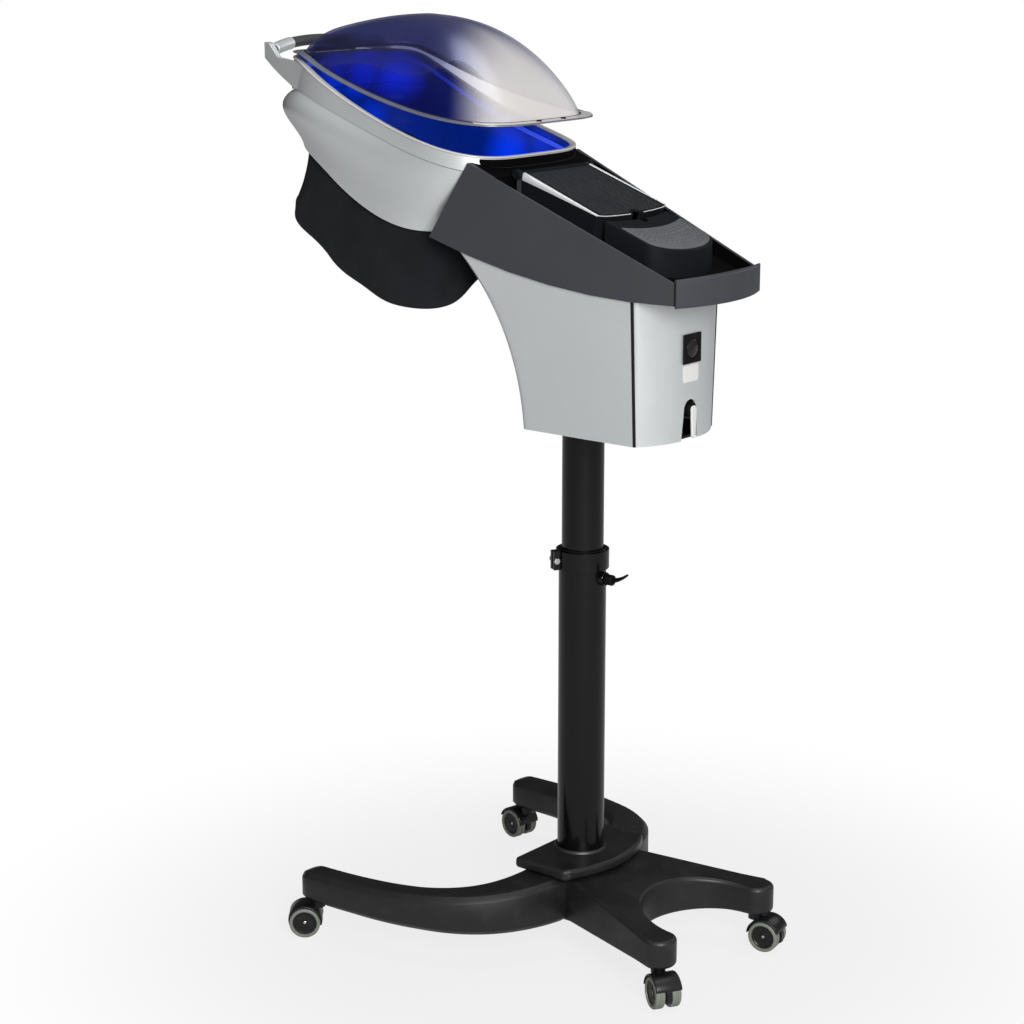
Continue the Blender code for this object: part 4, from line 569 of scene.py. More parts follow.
class Solid:
    """Collects forms into one mesh and turns it into a named piece."""

    def __init__(self, name: str, place: Optional[Matrix] = None) -> None:
        """Start an empty mesh; everything added is moved by the place at the end."""
        self.name = name
        self.place = place or Matrix.Identity(4)
        self.bm = bmesh.new()

    def loft(self, rings: Sequence[Ring], wrap: bool = False, caps: bool = True,
             closed: bool = True) -> "Solid":
        """Skin a run of equal rings.

        Args:
            rings: points of each ring.
            wrap: join the last ring to the first.
            caps: close the two ends.
            closed: each ring is a loop.

        Returns:
            This solid.
        """
        rows = [[self.bm.verts.new(p) for p in ring] for ring in rings]
        pairs = list(zip(rows, rows[1:])) + ([(rows[-1], rows[0])] if wrap else [])
        for low, high in pairs:
            for i in range(len(low) if closed else len(low) - 1):
                j = (i + 1) % len(low)
                self.bm.faces.new((low[i], low[j], high[j], high[i]))
        if caps and closed and not wrap:
            self.bm.faces.new(rows[0])
            self.bm.faces.new(rows[-1])
        return self

    def lathe(self, profile: Plan, place: Optional[Matrix] = None, steps: int = 64,
              ring: bool = False) -> "Solid":
        """Turn a profile of radius and height about Z, then move it.

        Args:
            profile: radius and height of each point.
            place: where it goes.
            steps: facets round the axis.
            ring: the profile is a closed loop.

        Returns:
            This solid.
        """
        spot = place or Matrix.Identity(4)
        loops = [[spot @ Vector((r * math.cos(a), r * math.sin(a), z)) for r, z in profile]
                 for a in turns(steps)]
        return self.loft(loops, wrap=True, closed=ring)

    def plate(self, outline: Plan, low: float, high: float, place: Optional[Matrix] = None) -> "Solid":
        """Extrude a flat outline between two heights."""
        spot = place or Matrix.Identity(4)
        return self.loft([[spot @ Vector((x, y, z)) for x, y in outline] for z in (low, high)])

    def box(self, size: Sequence[float], at: Sequence[float], turn: Sequence[float] = (0, 0, 0)) -> "Solid":
        """Add a box.

        Args:
            size: its three sides.
            at: its middle.
            turn: angles about X, Y and Z in radians.

        Returns:
            This solid.
        """
        spot = Matrix.Translation(at)
        for angle, axis in zip(turn, "XYZ"):
            spot = spot @ Matrix.Rotation(angle, 4, axis)
        x, y, z = (s / 2 for s in size)
        return self.plate([(-x, -y), (x, -y), (x, y), (-x, y)], -z, z, spot)

    def tube(self, path: Sequence[Vector], radius: float, sides: int = 16) -> "Solid":
        """A round bar along a path.

        Args:
            path: points of its centre line.
            radius: radius of the bar.
            sides: facets round the bar.

        Returns:
            This solid.
        """
        rings = []
        up = Vector((0, 0, 1))
        for i, point in enumerate(path):
            ahead = (path[min(i + 1, len(path) - 1)] - path[max(i - 1, 0)]).normalized()
            across = ahead.cross(up)
            across.normalize()
            over = across.cross(ahead)
            rings.append([point + (across * math.cos(a) + over * math.sin(a)) * radius for a in turns(sides)])
        return self.loft(rings)

    def done(self, finish: Finish, body: str, replaces: tuple[str, ...] = (), bevel: float = 0.0,
             segments: int = 3, sharp: float = 35.0) -> bpy.types.Object:
        """Make the piece, finish it and let it ride.

        Args:
            finish: its material.
            body: the frame's body that carries it.
            replaces: nodes that it stands for.
            bevel: radius of its rounded edges.
            segments: facets of the rounding.
            sharp: edges steeper than this stay crisp, in degrees.

        Returns:
            The piece.
        """
        bmesh.ops.remove_doubles(self.bm, verts=self.bm.verts, dist=WELD)
        self.bm.transform(self.place)
        bmesh.ops.recalc_face_normals(self.bm, faces=self.bm.faces)
        mesh = bpy.data.meshes.new(self.name)
        self.bm.to_mesh(mesh)
        self.bm.free()
        mesh.shade_smooth()
        mesh.set_sharp_from_angle(angle=math.radians(sharp))
        piece = bpy.data.objects.new(self.name, mesh)
        bpy.context.scene.collection.objects.link(piece)
        if bevel:
            step = piece.modifiers.new("edges", "BEVEL")
            step.width = bevel
            step.segments = segments
            step.limit_method = "ANGLE"
            step.angle_limit = math.radians(sharp)
            step.harden_normals = True
        mesh.materials.append(finish.material())
        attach(piece, body)
        if replaces:
            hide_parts(*replaces)
        LOG.info("%s in %s on %s", piece.name, finish.name, body)
        return piece


def body_of(node: str) -> str:
    """Find the body that a node belongs to.

    Args:
        node: name of the node.

    Returns:
        Name of the body.
    """
    for name, nodes in frame["record"]["behaviour"]["bodies"].items():
        if node in nodes:
            return name
    raise KeyError(node)


def recast(node: str, finish: Finish, bevel: float = 0.0006, segments: int = 2, sharp: float = 30.0,
           shape: Optional[Callable[[Vector], Vector]] = None) -> None:
    """Copy a node whose shape is right, with rounded edges and smooth faces.

    Args:
        node: name of the node.
        finish: its material.
        bevel: radius of its edges.
        segments: facets of the rounding.
        sharp: edges steeper than this are rounded, in degrees.
        shape: where a point of the copy goes, if it differs from the node.
    """
    solid = Solid(node + "_skin")
    solid.bm.from_mesh(frame["nodes"][node].data)
    bmesh.ops.remove_doubles(solid.bm, verts=solid.bm.verts, dist=COPY_WELD)
    bmesh.ops.dissolve_limit(solid.bm, angle_limit=COPY_FLAT, verts=solid.bm.verts, edges=solid.bm.edges)
    for vert in solid.bm.verts if shape else ():
        vert.co = shape(vert.co)
    solid.done(finish, body_of(node), (node,), bevel, segments, sharp)


# Base, column and castors

@dataclass
class Base:
    """Hub with two rear legs, two curved front arms and the plate over their joint."""

    low: float = 0.062
    hub_drop: float = 0.006
    hub_depth: float = 0.076
    leg_depth: float = 0.045
    leg_half: float = 0.028
    pad: float = 0.070
    hub_half: float = 0.085
    hub_front: float = 0.048
    hub_back: float = 0.042
    front: tuple[float, float] = (0.272, 0.328)
    rear: tuple[float, float] = (0.134, 0.252)
    apex: float = 0.150
    root_half: float = 0.040
    tip_half: float = 0.025
    tip_depth: float = 0.049
    chamfer: float = 0.009
    chamfer_bulge: float = 0.0010
    cover_half: float = 0.106
    cover_front: float = 0.052
    cover_side: float = 0.048
    cover_back: float = 0.078
    cover_height: float = 0.018
    edge: float = 0.0065
    tube: float = 0.0375

    @property
    def hub_low(self) -> float:
        """Underside of the hub."""
        return self.low - self.hub_drop

    @property
    def hub_top(self) -> float:
        """Top of the hub."""
        return self.hub_low + self.hub_depth

    def fork(self) -> None:
        """Hub and rear legs in one, sloping down to the rear castors."""
        side, back = self.rear
        half = [(self.hub_half, -self.hub_front), (self.hub_half, self.hub_back)]
        half += arc(side, back, self.leg_half, 0, 180, 28)
        gap = side - self.leg_half
        shrink = (back - self.apex) / gap
        half += [(x, back + y * shrink) for x, y in arc(0, 0, gap, -6, -90, 28)]
        outline = half + [(-x, y) for x, y in reversed(half[:-1])]
        solid = Solid("base_fork_skin").plate(outline, self.hub_low, self.hub_top)
        middle = (self.hub_low + self.hub_top) / 2
        start = back - self.pad / 2
        for y in (self.hub_back, start):
            geom = solid.bm.verts[:] + solid.bm.edges[:] + solid.bm.faces[:]
            bmesh.ops.bisect_plane(solid.bm, geom=geom, plane_co=(0, y, 0), plane_no=(0, 1, 0))
        for vert in solid.bm.verts:
            y = vert.co.y
            if vert.co.z > middle:
                vert.co.z = mix(self.low + self.leg_depth, self.hub_top, ramp(y, back, self.hub_back))
            else:
                vert.co.z = self.low - self.hub_drop * ramp(y, start, self.hub_back)
        solid.done(CASTING, "base", ("base_fork",), self.edge, 4)

    def section(self, centre: Vector, across: Vector, half: float, low: float, high: float) -> Ring:
        """Cross-section of an arm with rounded chamfers.

        Args:
            centre: its place in plan.
            across: sideways direction of the arm.
            half: half width.
            low: underside.
            high: top.

        Returns:
            Points round the section.
        """
        cut = min(self.chamfer, half * 0.45)
        corners = [(-half, low, 1, 1), (-half, high, 1, -1), (half, high, -1, -1), (half, low, -1, 1)]
        ring = []
        for i, (s, z, inward, up) in enumerate(corners):
            ends = [(s, z + up * cut), (s + inward * cut, z)]
            if i % 2 == 0:
                ends.reverse()
            (s0, z0), (s1, z1) = ends
            for t in (0, 0.06, 0.94, 1):
                bulge = self.chamfer_bulge * math.sin(math.pi * t)
                ring.append((mix(s0, s1, t) - inward * bulge, mix(z0, z1, t) - up * bulge))
        foot = Vector((centre.x, centre.y, 0))
        return [foot + across * s + Vector((0, 0, z)) for s, z in ring]

    def arm(self, hand: Hand) -> None:
        """Front arm: leaves the hub sideways and sweeps forward to its castor.

        Args:
            hand: side of the arm.
        """
        side, ahead = self.front
        root = self.hub_half + SEAT
        tip = self.low + self.tip_depth
        path = [(root, -0.003, 0), (mix(root, side, 0.70), -0.02, 0), (side, -0.30 * ahead, 0),
                (side, -ahead, 0)]
        rings = []
        for t in shares(44):
            centre = bezier(path, t)
            run = bezier(path, min(1, t + 0.01)) - bezier(path, max(0, t - 0.01))
            if t == 0:
                run = Vector((1, 0, 0))
            across = Vector((-run.y, run.x, 0)).normalized()
            half = mix(self.root_half, self.tip_half, min(1, t * 1.6))
            low = self.low - self.hub_drop * max(0, 1 - t / 0.85) ** 0.7
            rings.append(self.section(centre, across, half, low, mix(self.hub_top, tip, t ** 0.8)))
        facets = 12
        for i in range(1, facets):
            share = math.sin(math.pi / 2 * i / facets)
            half = self.tip_half * math.sqrt(1 - share * share)
            centre = Vector((side, -ahead - self.tip_half * share, 0))
            rings.append(self.section(centre, Vector((1, 0, 0)), half, self.low, tip - 0.008 * share ** 2))
        rings = [[Vector((hand.value * p.x, p.y, p.z)) for p in ring] for ring in rings]
        name = f"base_arm_{hand.word}"
        Solid(name + "_skin").loft(rings).done(CASTING, "base", (name,), sharp=50)

    def cover(self) -> None:
        """Raised plate with an arched rear edge, and the dull ring at the foot of the column."""
        rise = self.cover_back - self.cover_side
        radius = (self.cover_half ** 2 + rise ** 2) / (2 * rise)
        reach = math.degrees(math.asin(self.cover_half / radius))
        outline = [(-self.cover_half, -self.cover_front), (self.cover_half, -self.cover_front)]
        outline += arc(0, self.cover_back - radius, radius, 90 - reach, 90 + reach, 36)
        low = self.hub_top + SEAT
        top = low + self.cover_height
        plate = Solid("hub_cover_skin").plate(outline, low, top)
        plate.done(CASTING, "base", ("hub_cover",), self.edge, 4)
        inner = self.tube + SEAT
        profile = [(inner, top + 0.0043), (inner + 0.0028, top + 0.0043), (inner + 0.0042, top + 0.0030),
                   (inner + 0.0050, top + SEAT), (inner, top + SEAT)]
        Solid("foot_ring_skin").lathe(profile, steps=96, ring=True).done(DULL, "base", ("foot_ring",))

    def build(self) -> None:
        """Make every piece of the base."""
        self.fork()
        for hand in Hand:
            self.arm(hand)
        self.cover()


@dataclass
class Column:
    """Fixed tube, sliding mast, clamp collar and lock lever."""

    tube: float = 0.0375
    wall: float = 0.0025
    low: float = 0.0983
    top: float = 0.648
    mast: float = 0.033
    mast_low: float = 0.360
    mast_top: float = 0.9117
    lock: float = 0.605
    ear_turn: float = -30.0
    ear_out: float = 0.0473
    bolt_drop: float = 0.015
    nut: float = 0.0052
    soft: float = 0.0006

    @property
    def lock_axis(self) -> Matrix:
        """Frame of the lock screw, whose axis points rearwards."""
        return Matrix.Translation((0, 0, self.lock)) @ Matrix.Rotation(-math.pi / 2, 4, "X")

    def pipe(self, name: str, radius: float, low: float, high: float, body: str) -> None:
        """A painted tube with softened ends.

        Args:
            name: the node that it stands for.
            radius: outer radius.
            low: lower end.
            high: upper end.
            body: the body that carries it.
        """
        inner, soft = radius - self.wall, self.soft
        profile = [(inner, high), (radius - soft, high), (radius, high - soft), (radius, low + soft),
                   (radius - soft, low), (inner, low)]
        Solid(name + "_skin").lathe(profile, steps=128, ring=True).done(TUBE, body, (name,))

    def boss(self) -> None:
        """Threaded boss of the lock screw on the rear of the tube."""
        profile = [(0.0043, 0.0465), (0.0102, 0.0465), (0.0110, 0.0457), (0.0112, 0.0345), (0.0043, 0.0345)]
        Solid("lock_boss").lathe(profile, self.lock_axis, 48, True).done(TUBE, "base")

    def bolt(self) -> None:
        """Socket-head bolt and nut through the ears of the collar."""
        place = (Matrix.Rotation(math.radians(self.ear_turn), 4, "Z")
                 @ Matrix.Translation((self.ear_out, 0, self.top - self.bolt_drop))
                 @ Matrix.Rotation(math.pi / 2, 4, "X"))
        head = [(0.0, 0.0105), (0.0018, 0.0105), (0.0018, 0.0122), (0.0040, 0.0122), (0.0046, 0.0116),
                (0.0046, 0.0082), (0.0, 0.0082)]
        shank = [(0.0, 0.0085), (0.0027, 0.0085), (0.0027, -0.0115), (0.0, -0.0115)]
        hexagon = [(self.nut * math.cos(a), self.nut * math.sin(a)) for a in turns(6)]
        bolt = Solid("clamp_bolt").lathe(head, place, 32).lathe(shank, place, 24)
        bolt.plate(hexagon, -0.0112, -0.0082, place).done(STEEL, "base", bevel=0.0003, segments=2)

    def lever(self) -> None:
        """Lock screw with a round knob and a bent lever."""
        profile = [(0, 0.0610), (0.0058, 0.0610), (0.0076, 0.0603), (0.0085, 0.0590), (0.0085, 0.0480),
                   (0.0078, 0.0471), (0.0040, 0.0470), (0.0040, 0.0336), (0, 0.0336)]
        rings = []
        for t in shares(16):
            half = mix(0.0056, 0.0046, ramp(t, 0, 0.35)) + 0.0018 * math.sin(math.pi * ramp(t, 0.35, 1.15))
            thick = mix(0.0046, 0.0021, t)
            end = math.sqrt(max(0.02, 1 - ramp(t, 0.9, 1.0) ** 2))
            centre = Vector((0, 0.0540 + 0.034 * t, self.lock + 0.014 * t * t))
            rings.append([centre + Vector((half * end * math.cos(a), 0, thick * end * math.sin(a)))
                          for a in turns(24)])
        solid = Solid("lock_lever_skin").lathe(profile, self.lock_axis, 48)
        solid.loft(rings).done(BLACK, "lock", ("lock_lever",))

    def bush(self) -> None:
        """Guide bush between tube and mast."""
        profile = [(0.0333, 0.6508), (0.0368, 0.6508), (0.0375, 0.6502), (0.0375, 0.6483), (0.0347, 0.6483),
                   (0.0347, 0.626), (0.0333, 0.626)]
        Solid("guide_bush_skin").lathe(profile, steps=96, ring=True).done(BLACK, "base", ("guide_bush",))

    def build(self) -> None:
        """Make every piece of the column."""
        self.pipe("outer_tube", self.tube, self.low, self.top, "base")
        self.pipe("inner_tube", self.mast, self.mast_low, self.mast_top, "mast")
        self.boss()
        recast("clamp_collar", TUBE, 0.0008, 3)
        self.bush()
        self.bolt()
        self.lever()


@dataclass
class Castor:
    """Twin-wheel castor: stem, moulded hood, axle, two wheels with dark discs."""

    corner: Corner
    radius: float = 0.025
    width: float = 0.016
    near: float = 0.005
    trail: float = 0.021
    shoulder: float = 0.0030
    groove: float = 0.0006
    grooves: tuple[float, float] = (0.40, 0.60)
    bore: float = 0.0035
    spokes: int = 9
    clearance: float = 0.0016
    fender: float = 0.0029
    fender_span: tuple[float, float] = (8, 158)
    web: float = 0.0044

    @property
    def axle(self) -> Matrix:
        """Frame of the castor's axle."""
        return self.corner.place @ Matrix.Translation((0, -self.trail, self.radius))

    @property
    def far(self) -> float:
        """Outer face of a wheel."""
        return self.near + self.width

    def tread(self) -> Plan:
        """Profile of the grey wheel, with two fine grooves.

        Returns:
            Radius and place along the axle of each point.
        """
        far, near, radius, edge, cut = self.far, self.near, self.radius, self.shoulder, self.groove
        quarter = [math.pi / 2 * i / 6 for i in range(7)]
        points = [(0.0200, far), (0.0212, far)]
        points += [(radius - edge + edge * math.sin(a), far - edge + edge * math.cos(a)) for a in quarter[1:]]
        for share in self.grooves:
            z = mix(far, near, share)
            points += [(radius, z + 0.0007), (radius - cut, z + 0.0003), (radius - cut, z - 0.0003),
                       (radius, z - 0.0007)]
        points += [(radius - edge + edge * math.cos(a), near + edge - edge * math.sin(a)) for a in quarter]
        return points + [(self.bore, near), (self.bore, near + 0.004), (0.0188, near + 0.004),
                         (0.0194, far - 0.0012)]

    def wheel(self, hand: Hand) -> None:
        """One wheel: grey tread with fine grooves, and a dark ribbed disc set into it.

        Args:
            hand: side of the castor.
        """
        far, inner = self.far, self.near + 0.0045
        axis = self.axle @ Matrix.Rotation(hand.value * math.pi / 2, 4, "Y")
        word = f"{self.corner.word}_{hand.word}"
        name, body = f"castor_wheel_{word}", f"wheel_{word}"
        Solid(name + "_skin").lathe(self.tread(), axis, 96, True).done(TYRE, body, (name,), sharp=40)
        disc = [(self.bore, far - 0.0022), (0.0055, far - 0.0020), (0.0062, far - 0.0030),
                (0.0158, far - 0.0030), (0.0170, far - 0.0020), (0.0186, far - 0.0020), (0.0186, inner),
                (self.bore, inner)]
        rib = [(0.0058, -0.0007), (0.0165, -0.0005), (0.0165, 0.0005), (0.0058, 0.0007)]
        solid = Solid(f"wheel_disc_{word}").lathe(disc, axis, 72, True)
        for a in turns(self.spokes):
            solid.plate(rib, far - 0.0034, far - 0.0023, axis @ Matrix.Rotation(a, 4, "Z"))
        solid.done(CASTOR, body)

    def hood(self) -> None:
        """Moulded hood: a domed fender over both wheels, the web between them and the swivel boss."""
        place = self.axle
        half = self.far + 0.0002
        inner = self.radius + self.clearance
        outer = inner + self.fender
        word = self.corner.word
        rings = []
        for t in shares(40):
            a = math.radians(mix(*self.fender_span, t))
            end = math.sqrt(max(0.0, 1 - (2 * t - 1) ** 6))
            thick = mix(0.0012, outer - inner, end)
            side = [(half, inner), (half, inner + thick * 0.55), (half - 0.0006, inner + thick * 0.82),
                    (half - 0.0022, inner + thick)]
            side += [(-x, r) for x, r in reversed(side)]
            rings.append([place @ Vector((x, r * math.cos(a), r * math.sin(a))) for x, r in side])
        solid = Solid(f"castor_hood_{word}_skin").loft(rings)
        upright = Matrix.Rotation(math.pi / 2, 4, "Y") @ Matrix.Rotation(math.pi / 2, 4, "Z")
        solid.plate(arc(0, 0, inner + 0.0012, -20, 200, 40), -self.web, self.web, place @ upright)
        boss = [(0.0060, 0.0597), (0.0105, 0.0597), (0.0113, 0.0590), (0.0115, 0.0480), (0.0060, 0.0500)]
        solid.lathe(boss, self.corner.place, 48, True)
        solid.done(CASTOR, f"castor_{word}", (f"castor_hood_{word}",), sharp=38)

    def pins(self) -> None:
        """Swivel stem and axle."""
        word = self.corner.word
        stem = [(0, 0.0897), (0.0055, 0.0897), (0.0055, 0.0617), (0.0100, 0.0617), (0.01045, 0.0612),
                (0.01045, 0.0602), (0.0055, 0.0602), (0.0055, 0.0495), (0, 0.0495)]
        x, y, _ = self.corner.value
        name = f"castor_stem_{word}"
        solid = Solid(name + "_skin", Matrix.Translation((x, y, 0))).lathe(stem, steps=40)
        solid.done(STEEL, "base", (name,))
        reach = self.far - 0.0030
        half = [(0, reach), (0.0018, reach), (0.0030, reach - 0.0008)]
        axle = half + [(r, -z) for r, z in reversed(half)]
        name = f"castor_axle_{word}"
        lying = self.axle @ Matrix.Rotation(math.pi / 2, 4, "Y")
        Solid(name + "_skin").lathe(axle, lying, 32).done(STEEL, f"castor_{word}", (name,))

    def build(self) -> None:
        """Make every piece of one castor."""
        self.hood()
        self.pins()
        for hand in Hand:
            self.wheel(hand)


# Steam housing and controls, in the head's own frame

@dataclass
class Housing:
    """Silver housing under the cowl, with its rear panel, seam strips and rear fittings."""

    half: float = 0.100
    front: float = -0.046
    back: float = 0.170
    bridge: float = 0.104
    wall: float = 0.003
    tuck: float = 0.010
    bulge: float = 0.030
    cowl_wall: float = 0.004
    corner: float = 0.014
    seam_in: float = 0.0026
    seam_out: float = 0.0004
    screws: tuple[tuple[float, float], ...] = (
        (0.080, -0.020), (-0.080, -0.020), (0.078, 0.150), (-0.078, 0.150))
    label: tuple[float, float, float] = (0.040, 0.026, 0.101)

    @staticmethod
    def cowl_half(y: float) -> float:
        """Half width of the cowl."""
        return COWL_HALF - COWL_TAPER * y

    @staticmethod
    def cowl_low(y: float) -> float:
        """Lower edge of the cowl."""
        return COWL_FOOT + COWL_BEND * (y - COWL_LOWEST) ** 2

    def width(self, y: float, z: float) -> float:
        """Half width of the housing at a place and height."""
        top = self.cowl_half(y) - self.cowl_wall - SEAT
        return mix(self.half, top, min(1, z / self.cowl_low(y)))

    def nose(self, t: float) -> Vector:
        """Side profile of the front wall.

        Args:
            t: share of the way up.

        Returns:
            The point in the middle of the wall.
        """
        high = self.front - self.bridge
        tall = self.cowl_low(high)
        run = [(0, self.front, 0), (0, self.front, 0.37 * tall),
               (0, self.front - 0.28 * self.bridge, 0.70 * tall), (0, high, tall)]
        return bezier(run, t)

    def course(self, t: float, inset: float) -> Ring:
        """Half of one wall course, from the rear seam to the middle of the front wall.

        Args:
            t: share of the way up; above 1 it is tucked into the cowl.
            inset: how far it is drawn in.

        Returns:
            Points of the course.
        """
        ahead = self.nose(min(1, t))
        share = ahead.z / self.cowl_low(ahead.y)
        lift = self.tuck * max(0, t - 1)
        nose = ahead.y + inset
        start = nose + self.corner
        points = []
        for run in shares(24):
            y = mix(self.back - SEAT, start, run)
            z = share * self.cowl_low(y) + lift
            points.append(Vector((self.width(y, z) - inset, y, z)))
        z = share * self.cowl_low(nose) + lift
        half = self.width(start, z) - inset
        bend = max(self.corner - inset, 0.002)
        facets = 10
        for i in range(1, facets + 1):
            turn = math.pi / 2 * i / facets
            x = half - bend * (1 - math.cos(turn))
            points.append(Vector((x, start - self.corner * math.sin(turn), z)))
        return points + [Vector((half * 0.4, nose, z)), Vector((0, nose, z))]

    def shell(self) -> None:
        """Front wall and both sides in one moulding."""
        courses = shares(20) + [2.0]
        outside = [self.course(t, 0) for t in courses]
        inside = [self.course(t, self.wall) for t in reversed(courses)]
        sections = [list(section) for section in zip(*(outside + inside))]
        sections += [[Vector((-p.x, p.y, p.z)) for p in section] for section in reversed(sections[:-1])]
        Solid("housing_shell_skin", HEAD).loft(sections).done(SILVER, "head", ("housing_shell",), sharp=50)

    def seam(self) -> None:
        """Dark strips in the joints between shell and rear panel."""
        end = 0.0004
        profile = [(-self.seam_in, -0.0022), (self.seam_out, -0.0022), (self.seam_out, 0.0018),
                   (-self.seam_in, 0.0018)]
        for hand in Hand:
            rings = []
            for t in shares(12):
                z = mix(end, self.cowl_low(self.back) - end, t)
                x = self.width(self.back, z)
                rings.append([Vector((hand.value * (x + a), self.back + b, z)) for a, b in profile])
            Solid(f"seam_strip_{hand.word}", HEAD).loft(rings).done(SEAL, "head")

    def panel(self, x: float, z: float) -> float:
        """Bowed face of the rear panel."""
        return self.back + SEAT + self.bulge * (1 - abs(x / self.width(self.back, z)) ** 2.5)

    def fittings(self) -> None:
        """Blank label under the switch, and screws in the floor plate."""
        wide, tall, height = self.label
        profile = [(0.0001, -1), (0.0004, -1), (0.0004, 1), (0.0001, 1)]
        rings = []
        for t in shares(16):
            x = mix(-wide / 2, wide / 2, t)
            soft = 0.003 * (1 - math.sqrt(max(0, 1 - max(0, abs(2 * t - 1) * 8 - 7) ** 2)))
            face = self.panel(x, height)
            rings.append([Vector((x, face + d, height + s * (tall / 2 - soft))) for d, s in profile])
        Solid("blank_label", HEAD).loft(rings).done(LABEL, "head", sharp=50)
        for i, (x, y) in enumerate(self.screws):
            spot = Vector((x, y, HEAD_HEIGHT + 0.0020))
            screw(f"floor_screw_{i}", spot, Vector((0, 0, -1)), 0.0034, STEEL, "head")

    def build(self) -> None:
        """Make every piece of the housing."""
        self.shell()
        recast("rear_panel", SILVER, 0.0005, 2, 50)
        self.seam()
        for node, finish, bevel, segments, sharp in (
                ("switch_bezel", BLACK, 0.0006, 3, 30), ("power_rocker", CASTOR, 0.0004, 2, 40),
                ("drain_valve", BLACK, 0.0005, 2, 30), ("drain_lever", WHITE, 0.0006, 3, 30),
                ("column_socket", STEEL, 0.0005, 2, 30), ("floor_plate", TUBE, 0.0004, 2, 30),
                ("cable_gland", BLACK, 0.0004, 2, 40)):
            recast(node, finish, bevel, segments, sharp)
        self.fittings()


def screw(name: str, at: Vector, facing: Vector, radius: float, finish: Finish, body: str) -> None:
    """Pan-head screw with a cross recess.

    Args:
        name: name of the piece.
        at: point on the surface.
        facing: outward normal.
        radius: radius of the head.
        finish: its material.
        body: the body that carries it.
    """
    place = Matrix.Translation(at) @ facing.to_track_quat("Z", "Y").to_matrix().to_4x4()
    quarter = [math.pi / 2 * i / 6 for i in range(6)]
    dome = [(radius * math.cos(a), radius * 0.55 * math.sin(a)) for a in quarter]
    profile = [(0, radius * 0.30), (radius * 0.14, radius * 0.30), (radius * 0.22, radius * 0.53)]
    profile += list(reversed(dome)) + [(radius, -radius * 0.15), (0, -radius * 0.15)]
    Solid(name).lathe(profile, place, 28).done(finish, body, sharp=40)


